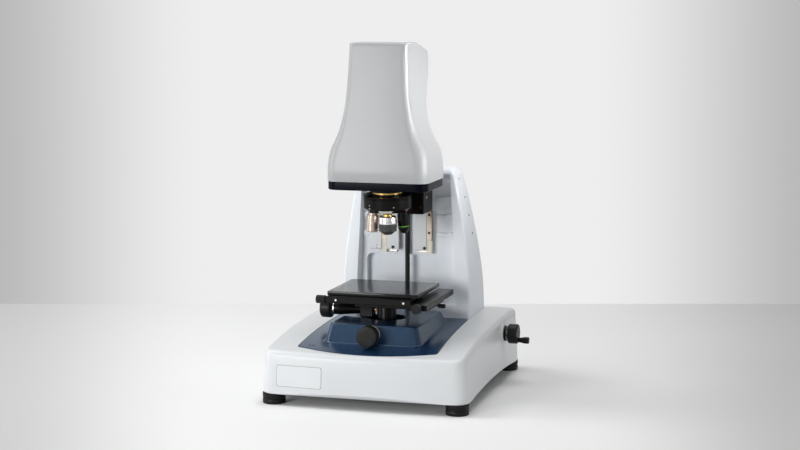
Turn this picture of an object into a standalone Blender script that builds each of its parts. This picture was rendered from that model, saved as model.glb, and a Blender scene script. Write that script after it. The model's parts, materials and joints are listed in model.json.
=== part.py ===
"""Bench-top optical profiler: a cast base and column, a head that slides on the column,
a turret of four objectives, and a tip, tilt and XY stage under them.

Units are metres. X runs to the right, Y to the rear and Z up. The sizes below are measured
from the middle of the instrument, half way between its feet, with the table top at zero.
"""

import math

import bmesh
import bpy
from mathutils import Matrix, Vector

# Clearances
SEAT_GAP = 0.0003
RUNNING_FIT = 0.0003
COVER_GAP = 0.0015

# Feet
FOOT_RADIUS = 0.0235
FOOT_HEIGHT = 0.022
FOOT_GROOVE_DEPTH = 0.0016
FOOT_X = 0.1925
FOOT_Y = 0.2245

# Base casting
BASE_HALF_WIDTH = 0.2165
BASE_DRAFT = 0.0055
BASE_FRONT = -0.256
BASE_REAR = 0.248
BASE_FRONT_BOW = 0.008
BASE_CORNER = 0.030
BASE_EDGE = 0.011
BASE_WALL = 0.009
BASE_DECK = 0.010
BASE_TOP_REAR = 0.1375
BASE_TOP_DROP = 0.0305
BASE_TOP_POWER = 3.3
FRONT_ARCH = 0.007
SIDE_ARCH = 0.009
FLOOR_LEDGE = 0.008
FLOOR_TOP = 0.042
FLOOR_THICKNESS = 0.004

# Blue top cover with its plinth
COVER_HALF_WIDTH = 0.146
COVER_REAR_HALF_WIDTH = 0.141
COVER_FRONT = -0.238
COVER_FRONT_BOW = 0.026
COVER_REAR = 0.0745
COVER_CORNER = 0.009
COVER_THICKNESS = 0.003
COVER_LEDGE = 0.009
PLINTH_TOP = 0.158
PLINTH_HALF_WIDTH = 0.093
PLINTH_FRONT = -0.167
PLINTH_REAR = 0.037
PLINTH_SPLAY = 0.009
PLINTH_CORNER = 0.012
PLINTH_EDGE = 0.0035
POST_OPENING = 0.040

# Stage post and its gimbal
POST_Y = -0.066
POST_RADIUS = 0.020
POST_BOTTOM = 0.098
POST_TOP = 0.186
GIMBAL_Z = 0.116
GIMBAL_RING_INNER = 0.0235
GIMBAL_RING_OUTER = 0.030
GIMBAL_RING_HALF_HEIGHT = 0.007
GIMBAL_PIN_RADIUS = 0.004
GIMBAL_LUG_INNER = 0.034
GIMBAL_LUG_THICKNESS = 0.008
PEDESTAL_HALF_DEPTH = 0.030
PEDESTAL_TOP = 0.086
LUG_TOP = 0.126
LUG_HALF_DEPTH = 0.010

# Tip knob at the front and tilt knob at the left
CONTROL_POST_GAP = 0.0025
TIP_Z = 0.142
TIP_KNOB_RADIUS = 0.0215
TIP_KNOB_FRONT = -0.211
TIP_KNOB_LENGTH = 0.0225
TIP_BEZEL_RADIUS = 0.0195
TIP_BEZEL_THICKNESS = 0.0035
TIP_BEZEL_STANDOFF = 0.001
TIP_HUB_RADIUS = 0.011
TIP_HUB_LENGTH = 0.016
TIP_SHAFT_RADIUS = 0.006
TILT_Z = 0.1725
TILT_KNOB_RADIUS = 0.021
TILT_KNOB_OUTER_X = -0.1415
TILT_KNOB_LENGTH = 0.023
TILT_SHAFT_RADIUS = 0.0035
TILT_RING_RADIUS = 0.0142
TILT_RING_LENGTH = 0.0035
TILT_HOUSING_START = -0.1115
TILT_HOUSING_LENGTH = 0.056
TILT_HOUSING_RADIUS = 0.0138
TILT_HOUSING_SMALL_RADIUS = 0.0095
TILT_BLOCK_LENGTH = 0.028
TILT_BLOCK_HALF_DEPTH = 0.012
TILT_BLOCK_TOP = 0.1805

# XY stage
STAGE_BASE_THICKNESS = 0.0075
SLIDE_THICKNESS = 0.009
PLATE_TOP = 0.220
PLATE_THICKNESS = 0.008
PLATE_LEFT = -0.105
PLATE_RIGHT = 0.089
PLATE_FRONT = -0.142
PLATE_REAR = 0.025
STAGE_BASE_LEFT = -0.053
STAGE_BASE_RIGHT = 0.108
STAGE_BASE_FRONT = -0.120
STAGE_BASE_REAR = -0.012
SLIDE_LEFT = -0.068
SLIDE_RIGHT = 0.070
SLIDE_REAR = 0.008
X_BAR_FRONT = -0.154
X_BAR_DEPTH = 0.024
X_BAR_LEFT = -0.104
X_BAR_RIGHT = 0.0765
X_BAR_BOTTOM = 0.1975
Y_BAR_LEFT = 0.080
Y_BAR_WIDTH = 0.036
Y_BAR_FRONT = -0.176
Y_BAR_REAR = 0.040
Y_BAR_TOP = 0.2055
RUNNER_WIDTH = 0.012
RUNNER_LEFT = -0.070
RUNNER_RIGHT = 0.053
STAGE_KNOB_SHAFT = 0.0025
X_SCREW_Z = 0.2028
X_KNOB_RADIUS = 0.0085
X_KNOB_LENGTH = 0.020
Y_KNOB_RADIUS = 0.010
Y_KNOB_LENGTH = 0.014
STAGE_KNOB_STANDOFF = 0.004
LOCK_Y = -0.036
LOCK_Z = 0.1815
LOCK_ROD_RADIUS = 0.0018
LOCK_ROD_LENGTH = 0.062
LOCK_KNOB_RADIUS = 0.0045
LOCK_KNOB_LENGTH = 0.015
LOCK_LUG_X = 0.052
LOCK_LUG_HALF = 0.008

# Column
COLUMN_FRONT = 0.078
COLUMN_TOP = 0.457
COLUMN_HALF_WIDTH = 0.142
COLUMN_TOP_NARROWING = 0.038
COLUMN_NARROWING_START = 0.190
COLUMN_NARROWING_POWER = 1.55
COLUMN_REAR_FOOT = 0.222
COLUMN_REAR_LEAN = 0.064
COLUMN_REAR_POWER = 1.15
COLUMN_REAR_CORNER = 0.008
COLUMN_FRONT_CORNER = 0.005
COLUMN_TOP_EDGE = 0.014
OPEN_HALF_WIDTH = 0.1152
OPEN_NARROWING = 0.0168
INNER_WALL = 0.100
RECESS_WALL = 0.117
RECESS_HALF_WIDTH = 0.094
RECESS_BOTTOM = 0.162
RECESS_TOP = 0.267
RECESS_CORNER = 0.014
COLUMN_BACK_WALL = 0.010
COLUMN_LINTEL = 0.012
RIB_HEIGHTS = (0.312, 0.351, 0.390, 0.428)
RIB_DEPTH = 0.0055
RIB_HALF_HEIGHT = 0.0045
RIB_PAD_RADIUS = 0.0067
RIB_INNER_X = 0.064
REAR_COVER_HALF_WIDTH = 0.085
REAR_COVER_BOTTOM = 0.165
REAR_COVER_TOP = 0.420
REAR_COVER_THICKNESS = 0.0025

# Guide rails, lead screw and drive
RAIL_INNER_X = 0.024
RAIL_WIDTH = 0.020
RAIL_THICKNESS = 0.004
RAIL_BOTTOM = 0.272
RAIL_TOP = 0.444
SCREW_Y = 0.092
SCREW_RADIUS = 0.0053
SCREW_TOP = COLUMN_TOP - COLUMN_LINTEL - 0.001
DRIVE_Z = 0.106
GEAR_RADIUS = 0.013
GEAR_TEETH = 16
GEAR_TOOTH_DEPTH = 0.0016
GEAR_FACE = 0.006
GEAR_BACKLASH = 0.0007
BEARING_HALF_WIDTH = 0.018
LOWER_BEARING_THICKNESS = 0.006
UPPER_BEARING_THICKNESS = 0.010
BEARING_SETBACK = 0.001

# Crank handle on the right of the base
CRANK_SHAFT_RADIUS = 0.005
CRANK_FLANGE_RADIUS = 0.0165
CRANK_FLANGE_THICKNESS = 0.004
CRANK_WHEEL_RADIUS = 0.021
CRANK_WHEEL_GAP = 0.004
CRANK_WHEEL_LENGTH = 0.021
CRANK_THROW = 0.013
CRANK_PIN_RADIUS = 0.003
GRIP_LENGTH = 0.023
GRIP_RADIUS = 0.0072
GRIP_NECK_RADIUS = 0.0052

# Lift carriage
CARRIAGE_FRONT = 0.084
CARRIAGE_HALF_WIDTH = 0.045
CARRIAGE_CHANNEL = 0.018
CARRIAGE_BOTTOM = 0.278
CARRIAGE_TOP = 0.424
CARRIAGE_BRIDGE = 0.408
STRIP_WIDTH = 0.010
STRIP_BOTTOM = 0.300
STRIP_TOP = 0.364
WIPER_BOTTOM = 0.272
SWITCH_WIDTH = 0.026
SWITCH_TOP = 0.345
NUT_BOTTOM = 0.378
NUT_HEIGHT = 0.022
BRACKET_HALF_WIDTH = 0.058
BRACKET_FRONT = 0.010
BRACKET_BOTTOM = 0.366
BRACKET_WALL = 0.014
BRACKET_TONGUE_FRONT = -0.018
BRACKET_TONGUE_THICKNESS = 0.009

# Head
HEAD_PLATE_BOTTOM = 0.430
HEAD_PLATE_THICKNESS = 0.017
HEAD_FRONT = -0.150
HEAD_REAR = -0.002
HEAD_PLATE_INSET = 0.0015
HEAD_TOP = 0.728
HEAD_TOP_HALF_WIDTH = 0.0608
HEAD_TAPER = 0.007
HEAD_FLARE = 0.0397
HEAD_FLARE_Z = 0.538
HEAD_FLARE_SPREAD = 0.0215
HEAD_FLARE_EASE = 0.005
HEAD_CREASE_Z = 0.476
HEAD_LEAN = 0.018
HEAD_WAIST_Z = 0.552
HEAD_WAIST_REAR = -0.0115
HEAD_SWELL_Z = 0.565
HEAD_CROWN_Z = 0.692
HEAD_CROWN_REAR = 0.036
HEAD_SLOPE_Z = 0.7085
HEAD_SLOPE_REAR = 0.028
HEAD_TOP_REAR = -0.048
HEAD_CORNER = 0.025
HEAD_TOP_CORNER = 0.012
HEAD_CORNER_LOW_Z = 0.500
HEAD_CORNER_HIGH_Z = 0.600
HEAD_REAR_CORNER = 0.016
HEAD_REAR_CORNER_SHARE = 0.7
HEAD_FLARE_EASE_HEIGHT = 0.020
HEAD_SHOULDER_Z = 0.585
HEAD_CROWN_RISE = 0.011
HEAD_EDGE_MIDDLE = 0.3
HEAD_ROOF_DROP = 0.0036
HEAD_WALL = 0.003
HEAD_TOP_EDGE = 0.004

# Optics inside the head
OPTIC_TUBE_RADIUS = 0.019
OPTIC_TUBE_TOP = 0.560
SPLITTER_HALF = 0.030
SPLITTER_HEIGHT = 0.060
CAMERA_HALF = 0.025
CAMERA_HEIGHT = 0.062
LAMP_RADIUS = 0.018
LAMP_LENGTH = 0.034

# Turret
TURRET_Y = -0.060
TURRET_Z = 0.398
TURRET_LEAN = math.radians(4.0)
TURRET_RADIUS = 0.050
TURRET_HALF_HEIGHT = 0.017
TURRET_CHAMFER = 0.010
TURRET_MOUNT_RADIUS = 0.037
TURRET_COLLAR_RADIUS = 0.027
PORT_CIRCLE = 0.034
PORT_STEP = math.radians(60.0)
FRONT_PORT = math.radians(-74.0)
OBJECTIVE_THREAD_RADIUS = 0.0095
OBJECTIVE_THREAD_LENGTH = 0.004

# Colours and finishes: base colour, roughness, metallic
FINISHES = {
    "white_paint": ((0.82, 0.84, 0.86), 0.42, 0.0),
    "blue_hammertone": ((0.018, 0.050, 0.110), 0.38, 0.1),
    "navy_paint": ((0.006, 0.010, 0.028), 0.35, 0.0),
    "black_anodised": ((0.020, 0.020, 0.019), 0.35, 0.4),
    "black_plastic": ((0.018, 0.018, 0.018), 0.50, 0.0),
    "black_steel": ((0.015, 0.015, 0.016), 0.30, 0.6),
    "rubber": ((0.012, 0.012, 0.012), 0.80, 0.0),
    "steel": ((0.55, 0.53, 0.50), 0.35, 1.0),
    "nickel": ((0.72, 0.70, 0.66), 0.22, 1.0),
    "chrome": ((0.80, 0.80, 0.80), 0.12, 1.0),
    "copper": ((0.62, 0.30, 0.12), 0.30, 1.0),
    "brass": ((0.70, 0.50, 0.18), 0.30, 1.0),
    "cream_plastic": ((0.78, 0.74, 0.60), 0.50, 0.0),
    "tan_metal": ((0.48, 0.42, 0.36), 0.32, 0.9),
    "red_metal": ((0.50, 0.16, 0.13), 0.38, 0.6),
    "grey_metal": ((0.30, 0.31, 0.32), 0.45, 0.8),
}


# Shared shape helpers

def clear_scene():
    """Remove whatever the scene holds."""
    for item in list(bpy.data.objects):
        bpy.data.objects.remove(item, do_unlink=True)


def make_material(name):
    """A Principled material for one finish, made once."""
    if name in bpy.data.materials:
        return bpy.data.materials[name]
    colour, roughness, metallic = FINISHES[name]
    material = bpy.data.materials.new(name)
    material.use_nodes = True
    shader = material.node_tree.nodes["Principled BSDF"]
    shader.inputs["Base Color"].default_value = (*colour, 1.0)
    shader.inputs["Roughness"].default_value = roughness
    shader.inputs["Metallic"].default_value = metallic
    return material


def make_empty(name, location, parent=None):
    """An empty that carries other objects."""
    empty = bpy.data.objects.new(name, None)
    bpy.context.scene.collection.objects.link(empty)
    empty.location = location
    empty.parent = parent
    return empty


def add_piece(name, shape, finish, parent, origin=(0.0, 0.0, 0.0), sharp_degrees=32.0):
    """Turn a bmesh into a named object whose own origin is at the given point."""
    face_outward(shape)
    bmesh.ops.translate(shape, verts=shape.verts, vec=-Vector(origin))
    mesh = bpy.data.meshes.new(name)
    shape.to_mesh(mesh)
    shape.free()
    mesh.materials.append(make_material(finish))
    mesh.shade_smooth()
    mesh.set_sharp_from_angle(angle=math.radians(sharp_degrees))
    piece = bpy.data.objects.new(name, mesh)
    bpy.context.scene.collection.objects.link(piece)
    piece.location = origin
    piece.parent = parent
    return piece


def face_outward(shape):
    """Turn every face of a closed shape outwards."""
    bmesh.ops.recalc_face_normals(shape, faces=shape.faces)
    if shape.calc_volume(signed=True) < 0.0:
        bmesh.ops.reverse_faces(shape, faces=shape.faces)


def bridge(shape, lower, upper):
    """Join two rings of vertices, either of which may be a single pole."""
    if len(lower) == 1 and len(upper) == 1:
        return
    count = max(len(lower), len(upper))
    for index in range(count):
        following = (index + 1) % count
        if len(lower) == 1:
            corners = (lower[0], upper[following], upper[index])
        elif len(upper) == 1:
            corners = (lower[index], lower[following], upper[0])
        else:
            corners = (lower[index], lower[following], upper[following], upper[index])
        shape.faces.new(corners)


def ladder_cap(shape, ring, has_middle):
    """Close a left-right symmetric ring with rungs, so that the cap follows a curve along Y."""
    low = 1 if has_middle else 0
    high = len(ring) - 1
    if has_middle:
        shape.faces.new((ring[0], ring[low], ring[high]))
    while high - low > 1:
        shape.faces.new((ring[low], ring[low + 1], ring[high - 1], ring[high]))
        low += 1
        high -= 1


def stack_rings(rings, caps="flat", has_middle=True):
    """A closed solid through equal rings of points; caps are flat, ladder or loop."""
    shape = bmesh.new()
    levels = [[shape.verts.new(point) for point in ring] for ring in rings]
    for lower, upper in zip(levels, levels[1:]):
        bridge(shape, lower, upper)
    if caps == "loop":
        bridge(shape, levels[-1], levels[0])
    elif caps == "ladder":
        ladder_cap(shape, levels[0], has_middle)
        ladder_cap(shape, levels[-1], has_middle)
    else:
        shape.faces.new(levels[0])
        shape.faces.new(levels[-1])
    face_outward(shape)
    return shape


def turned(profile, steps=24, axis="Z", centre=(0.0, 0.0, 0.0)):
    """Revolve (radius, height) points; a profile off the axis closes into a ring."""
    shape = bmesh.new()
    levels = []
    for radius, height in profile:
        if radius == 0.0:
            levels.append([shape.verts.new((0.0, 0.0, height))])
            continue
        angles = [2.0 * math.pi * step / steps for step in range(steps)]
        levels.append([
            shape.verts.new((radius * math.cos(angle), radius * math.sin(angle), height))
            for angle in angles
        ])
    for lower, upper in zip(levels, levels[1:]):
        bridge(shape, lower, upper)
    if len(levels[0]) > 1:
        bridge(shape, levels[-1], levels[0])
    turn_to_axis(shape, axis)
    bmesh.ops.translate(shape, verts=shape.verts, vec=centre)
    face_outward(shape)
    return shape


def turn_to_axis(shape, axis):
    """Lay a shape made along Z along another axis."""
    if axis == "X":
        turn = Matrix.Rotation(math.radians(90.0), 3, "Y")
    elif axis == "Y":
        turn = Matrix.Rotation(math.radians(-90.0), 3, "X")
    else:
        return
    bmesh.ops.rotate(shape, verts=shape.verts, cent=(0.0, 0.0, 0.0), matrix=turn)


def rod(radius, low, high, axis="Z", centre=(0.0, 0.0, 0.0), steps=16):
    """A plain cylinder from low to high along an axis."""
    profile = ((0.0, low), (radius, low), (radius, high), (0.0, high))
    return turned(profile, steps, axis, centre)


def soft_disc(radius, low, high, edge, axis="Z", centre=(0.0, 0.0, 0.0), steps=28):
    """A cylinder with a two-step rounded edge at both ends."""
    half = edge * 0.3
    profile = (
        (0.0, low), (radius - edge, low), (radius - half, low + half), (radius, low + edge),
        (radius, high - edge), (radius - half, high - half), (radius - edge, high), (0.0, high),
    )
    return turned(profile, steps, axis, centre)


def sleeve(outer, inner, low, high, axis="Z", centre=(0.0, 0.0, 0.0), steps=24):
    """A plain ring with a bore."""
    profile = ((inner, low), (outer, low), (outer, high), (inner, high))
    return turned(profile, steps, axis, centre)


def block(low, high, edge=0.0, segments=2):
    """A box between two corners, with rounded edges where an edge size is given."""
    shape = bmesh.new()
    bmesh.ops.create_cube(shape, size=1.0)
    size = Vector(high) - Vector(low)
    bmesh.ops.scale(shape, verts=shape.verts, vec=size)
    bmesh.ops.translate(shape, verts=shape.verts, vec=Vector(low) + size * 0.5)
    if edge > 0.0:
        bmesh.ops.bevel(
            shape, geom=shape.edges[:], offset=edge, segments=segments, profile=0.5, affect="EDGES"
        )
    return shape


def rounded_box_outline(left, right, front, rear, radius, steps=4):
    """Outline of a rectangle with round corners, anticlockwise."""
    corners = (
        (right - radius, front + radius, -90.0), (right - radius, rear - radius, 0.0),
        (left + radius, rear - radius, 90.0), (left + radius, front + radius, 180.0),
    )
    outline = []
    for centre_x, centre_y, start in corners:
        for step in range(steps + 1):
            angle = math.radians(start + 90.0 * step / steps)
            outline.append((centre_x + radius * math.cos(angle), centre_y + radius * math.sin(angle)))
    return outline


def prism(outline, low, high, axis="Z"):
    """Extrude an outline: (x, y) along Z, (x, z) along Y or (y, z) along X."""
    places = {
        "Z": lambda first, second, level: (first, second, level),
        "Y": lambda first, second, level: (first, level, second),
        "X": lambda first, second, level: (level, first, second),
    }
    place = places[axis]
    return stack_rings([[place(*point, level) for point in outline] for level in (low, high)])


def temporary_object(shape):
    """An object that holds a bmesh while a cut is worked out."""
    mesh = bpy.data.meshes.new("temporary")
    shape.to_mesh(mesh)
    shape.free()
    item = bpy.data.objects.new("temporary", mesh)
    bpy.context.scene.collection.objects.link(item)
    return item


def combine(shape, tools, operation):
    """Cut the tools away from a shape, or join them to it."""
    body = temporary_object(shape)
    helpers = [temporary_object(tool) for tool in tools]
    for helper in helpers:
        modifier = body.modifiers.new("combine", "BOOLEAN")
        modifier.operation = operation
        modifier.solver = "EXACT"
        modifier.object = helper
    graph = bpy.context.evaluated_depsgraph_get()
    mesh = bpy.data.meshes.new_from_object(body.evaluated_get(graph))
    result = bmesh.new()
    result.from_mesh(mesh)
    bpy.data.meshes.remove(mesh)
    for item in [body] + helpers:
        bpy.data.objects.remove(item, do_unlink=True)
    return result


def cut(shape, *tools):
    """Cut each tool away from the shape."""
    return combine(shape, tools, "DIFFERENCE")


def join(shape, *tools):
    """Join each tool to the shape."""
    return combine(shape, tools, "UNION")


def half_plan(half_width, front, rear, corner, rear_corner=None, bow=0.0, rear_half_width=None,
              side_steps=8, corner_steps=5, front_steps=4):
    """Right half of a plan outline, from the middle of the front to the rear corner."""
    rear_corner = corner if rear_corner is None else rear_corner
    rear_half_width = half_width if rear_half_width is None else rear_half_width
    corner_x = half_width - corner
    points = []
    for step in range(front_steps):
        x = corner_x * step / front_steps
        points.append((x, front + bow * (x / corner_x) ** 2))
    centre_y = front + bow + corner
    for step in range(corner_steps + 1):
        angle = math.radians(-90.0 + 90.0 * step / corner_steps)
        points.append((corner_x + corner * math.cos(angle), centre_y + corner * math.sin(angle)))
    rear_centre_y = rear - rear_corner
    for step in range(1, side_steps):
        share = step / side_steps
        points.append((
            half_width + (rear_half_width - half_width) * share,
            centre_y + (rear_centre_y - centre_y) * share,
        ))
    for step in range(corner_steps + 1):
        angle = math.radians(90.0 * step / corner_steps)
        points.append((
            rear_half_width - rear_corner + rear_corner * math.cos(angle),
            rear_centre_y + rear_corner * math.sin(angle),
        ))
    return points


def whole_plan(right):
    """Both halves of an outline whose first point may lie on the middle line."""
    left = [(-x, y) for x, y in reversed(right) if x > 0.0]
    return right + left


def at_height(outline, height):
    """Give an outline its height, either one value or a function of x and y."""
    if callable(height):
        return [(x, y, height(x, y)) for x, y in outline]
    return [(x, y, height) for x, y in outline]


# Base

def base_top(y):
    """Height of the casting's top surface, which falls away towards the front."""
    share = min(max((BASE_REAR - y) / (BASE_REAR - BASE_FRONT), 0.0), 1.0)
    return BASE_TOP_REAR - BASE_TOP_DROP * share ** BASE_TOP_POWER


def base_bottom(x, y):
    """Height of the skirt's lower edge, arched between the feet."""
    front_share = 1.0 - (x / (FOOT_X - FOOT_RADIUS)) ** 2
    side_share = 1.0 - (y / (FOOT_Y - FOOT_RADIUS)) ** 2
    arch = FRONT_ARCH * max(front_share, 0.0) + SIDE_ARCH * max(side_share, 0.0)
    return FOOT_HEIGHT + SEAT_GAP + arch


def base_plan(inset):
    """Plan outline of the base, inset by a distance."""
    return whole_plan(half_plan(
        BASE_HALF_WIDTH - inset, BASE_FRONT + inset, BASE_REAR - inset, BASE_CORNER - inset,
        bow=BASE_FRONT_BOW, side_steps=7, corner_steps=5, front_steps=4,
    ))


def base_outer():
    """The outside of the base: drafted walls and a rounded top edge."""
    lower_edge = 0.002
    rings = [
        at_height(base_plan(lower_edge), base_bottom),
        at_height(base_plan(0.0), lambda x, y: base_bottom(x, y) + lower_edge),
    ]
    for step in range(4):
        angle = math.radians(90.0 * step / 3)
        inset = BASE_DRAFT + BASE_EDGE * (1.0 - math.cos(angle))
        drop = BASE_EDGE * (1.0 - math.sin(angle))
        rings.append(at_height(base_plan(inset), lambda x, y, d=drop: base_top(y) - d))
    return stack_rings(rings, caps="ladder")


def cavity_plan(inset):
    """Cross-shaped cavity that leaves solid corners over the feet."""
    wide = BASE_HALF_WIDTH - BASE_DRAFT - BASE_WALL - inset
    narrow = FOOT_X - FOOT_RADIUS - 0.006 - inset
    front = BASE_FRONT + BASE_FRONT_BOW + BASE_WALL + inset
    rear = BASE_REAR - BASE_WALL - inset
    shoulder = FOOT_Y - FOOT_RADIUS - 0.006 - inset
    slant = 0.008
    right = [(narrow, front), (narrow, -shoulder - slant)]
    for step in range(6):
        right.append((wide, -shoulder + 2.0 * shoulder * step / 5))
    right += [(narrow, shoulder + slant), (narrow, rear)]
    return whole_plan(right)


def base_cavity():
    """Hollow under the deck."""
    rings = [
        at_height(cavity_plan(FLOOR_LEDGE), FLOOR_TOP - 0.002),
        at_height(cavity_plan(FLOOR_LEDGE), lambda x, y: base_top(y) - BASE_DECK),
    ]
    return stack_rings(rings, caps="ladder", has_middle=False)


def floor_recess():
    """Recess that the floor plate fits into from below."""
    plan = cavity_plan(0.0)
    return stack_rings([at_height(plan, 0.0), at_height(plan, FLOOR_TOP + SEAT_GAP)],
                       caps="ladder", has_middle=False)


def cover_plan(inset):
    """Plan outline of the blue cover."""
    return whole_plan(half_plan(
        COVER_HALF_WIDTH - inset, COVER_FRONT + inset, COVER_REAR - inset,
        COVER_CORNER - 0.5 * inset, bow=COVER_FRONT_BOW,
        rear_half_width=COVER_REAR_HALF_WIDTH - inset, side_steps=4, corner_steps=3, front_steps=4,
    ))


def cover_recess():
    """Seat of the blue cover in the deck."""
    plan = cover_plan(-COVER_GAP)
    return stack_rings([
        at_height(plan, lambda x, y: base_top(y) - COVER_THICKNESS - SEAT_GAP),
        at_height(plan, PLINTH_TOP),
    ], caps="ladder")


def cover_opening():
    """Opening through the deck, under the cover's ledge."""
    plan = cover_plan(COVER_LEDGE)
    return stack_rings([
        at_height(plan, FLOOR_TOP + FLOOR_LEDGE),
        at_height(plan, PLINTH_TOP),
    ], caps="ladder")


def crank_hub_boss():
    """Flat round land on the right wall for the crank's flange."""
    return rod(CRANK_FLANGE_RADIUS + 0.003, BASE_HALF_WIDTH - BASE_DRAFT - BASE_WALL - 0.004,
               BASE_HALF_WIDTH - 0.0005, "X", (0.0, SCREW_Y, DRIVE_Z), 28)


def build_base(parent):
    """Base casting, floor plate and feet."""
    shape = cut(base_outer(), base_cavity(), floor_recess(), cover_recess(), cover_opening())
    shape = join(shape, crank_hub_boss())
    shape = cut(
        shape,
        rod(CRANK_SHAFT_RADIUS + RUNNING_FIT, BASE_HALF_WIDTH - 0.05, BASE_HALF_WIDTH + 0.01, "X",
            (0.0, SCREW_Y, DRIVE_Z), 16),
        rod(SCREW_RADIUS + 0.001, FLOOR_TOP + 0.02, PLINTH_TOP, "Z", (0.0, SCREW_Y, 0.0), 16),
    )
    add_piece("base_casting", shape, "white_paint", parent)
    plan = cavity_plan(SEAT_GAP)
    floor = stack_rings([
        at_height(plan, FLOOR_TOP - FLOOR_THICKNESS), at_height(plan, FLOOR_TOP)
    ], caps="ladder", has_middle=False)
    add_piece("base_floor_plate", floor, "grey_metal", parent)
    for side, x in (("left", -FOOT_X), ("right", FOOT_X)):
        for end, y in (("front", -FOOT_Y), ("rear", FOOT_Y)):
            add_piece("foot_%s_%s" % (end, side), foot_shape((x, y, 0.0)), "rubber", parent)


def foot_shape(centre):
    """Round rubber foot with a groove around it."""
    edge = 0.002
    groove = FOOT_RADIUS - FOOT_GROOVE_DEPTH
    middle = FOOT_HEIGHT * 0.5
    profile = (
        (0.0, 0.0), (FOOT_RADIUS - edge, 0.0), (FOOT_RADIUS, edge), (FOOT_RADIUS, middle - edge),
        (groove, middle - edge * 0.4), (groove, middle + edge * 0.4), (FOOT_RADIUS, middle + edge),
        (FOOT_RADIUS, FOOT_HEIGHT), (0.0, FOOT_HEIGHT),
    )
    return turned(profile, 18, "Z", centre)


# Blue cover

def plinth_plan(outset):
    """Plan outline of the plinth, with as many points as the cover's outline."""
    return whole_plan(half_plan(
        PLINTH_HALF_WIDTH + outset, PLINTH_FRONT - outset, PLINTH_REAR + outset * 0.7,
        PLINTH_CORNER + 0.3 * outset, side_steps=4, corner_steps=3, front_steps=4,
    ))


def opening_ring(count):
    """Even points on the round opening around the post, from its front."""
    angles = [2.0 * math.pi * index / count - math.pi * 0.5 for index in range(count)]
    return [(POST_OPENING * math.cos(angle), POST_Y + POST_OPENING * math.sin(angle))
            for angle in angles]


def between(first, second, share):
    """Outline part of the way from one outline to another."""
    return [(a[0] + (b[0] - a[0]) * share, a[1] + (b[1] - a[1]) * share)
            for a, b in zip(first, second)]


def cover_shape():
    """Thin cover: a curved plate, a raised plinth and the opening around the post."""
    def on_deck(x, y):
        return base_top(y)

    def under_deck(x, y):
        return base_top(y) - COVER_THICKNESS

    edge = cover_plan(0.0)
    foot = plinth_plan(PLINTH_SPLAY + 0.004)
    opening = opening_ring(len(edge))
    rings = [
        at_height(edge, under_deck),
        at_height(edge, lambda x, y: base_top(y) - 0.0008),
        at_height(cover_plan(0.001), on_deck),
        at_height(between(edge, foot, 0.5), on_deck),
        at_height(foot, on_deck),
        at_height(plinth_plan(PLINTH_SPLAY), lambda x, y: base_top(y) + 0.0025),
        at_height(plinth_plan(0.001), PLINTH_TOP - PLINTH_EDGE),
        at_height(plinth_plan(-0.0005), PLINTH_TOP - PLINTH_EDGE * 0.35),
        at_height(plinth_plan(-PLINTH_EDGE), PLINTH_TOP),
        at_height(opening, PLINTH_TOP),
        at_height(opening, PLINTH_TOP - COVER_THICKNESS),
        at_height(plinth_plan(-PLINTH_EDGE), PLINTH_TOP - COVER_THICKNESS),
        at_height(plinth_plan(0.001 - COVER_THICKNESS), PLINTH_TOP - PLINTH_EDGE - COVER_THICKNESS),
        at_height(plinth_plan(PLINTH_SPLAY - COVER_THICKNESS), under_deck),
    ]
    return stack_rings(rings, caps="loop")


def build_cover(parent):
    """Cover with the round hole for the tip control in the plinth's front."""
    hole = rod(TIP_HUB_RADIUS + SEAT_GAP, PLINTH_FRONT - 0.03, PLINTH_FRONT + 0.02, "Y",
               (0.0, 0.0, TIP_Z), 28)
    add_piece("top_cover", cut(cover_shape(), hole), "blue_hammertone", parent)


# Column

def column_share(z, start):
    """How far up the narrowing part of the column a height is, from 0 to 1."""
    return min(max((z - start) / (COLUMN_TOP - start), 0.0), 1.0)


def column_half_width(z):
    """Outer half-width of the column at a height."""
    share = column_share(z, COLUMN_NARROWING_START)
    return COLUMN_HALF_WIDTH - COLUMN_TOP_NARROWING * share ** COLUMN_NARROWING_POWER


def column_rear(z):
    """Rear face of the column at a height."""
    share = column_share(z, BASE_TOP_REAR)
    return COLUMN_REAR_FOOT - COLUMN_REAR_LEAN * share ** COLUMN_REAR_POWER


def column_inner_half_width(z):
    """Half-width of the open front at a height."""
    return OPEN_HALF_WIDTH - OPEN_NARROWING * column_share(z, BASE_TOP_REAR)


def column_plan(z, inset):
    """Plan outline of the column at a height."""
    half_width = column_half_width(z) - inset
    return whole_plan(half_plan(
        half_width, COLUMN_FRONT + inset, column_rear(z) - inset, COLUMN_FRONT_CORNER,
        rear_corner=COLUMN_REAR_CORNER, rear_half_width=half_width - 0.001,
        side_steps=1, corner_steps=3, front_steps=1,
    )[1:])


def column_levels():
    """Heights at which the column's outline is set out."""
    foot = BASE_TOP_REAR + 0.004
    shoulder = COLUMN_TOP - COLUMN_TOP_EDGE
    steps = 7
    return [foot + (shoulder - foot) * step / steps for step in range(steps + 1)]


def column_outer():
    """Outside of the column with a rounded top."""
    rings = [at_height(column_plan(BASE_TOP_REAR, 0.0), lambda x, y: base_top(y) + SEAT_GAP)]
    rings += [at_height(column_plan(z, 0.0), z) for z in column_levels()]
    for step in (1, 2):
        angle = math.radians(45.0 * step)
        inset = COLUMN_TOP_EDGE * (1.0 - math.cos(angle))
        rings.append(at_height(column_plan(COLUMN_TOP, inset),
                               COLUMN_TOP - COLUMN_TOP_EDGE * (1.0 - math.sin(angle))))
    return stack_rings(rings)


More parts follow.
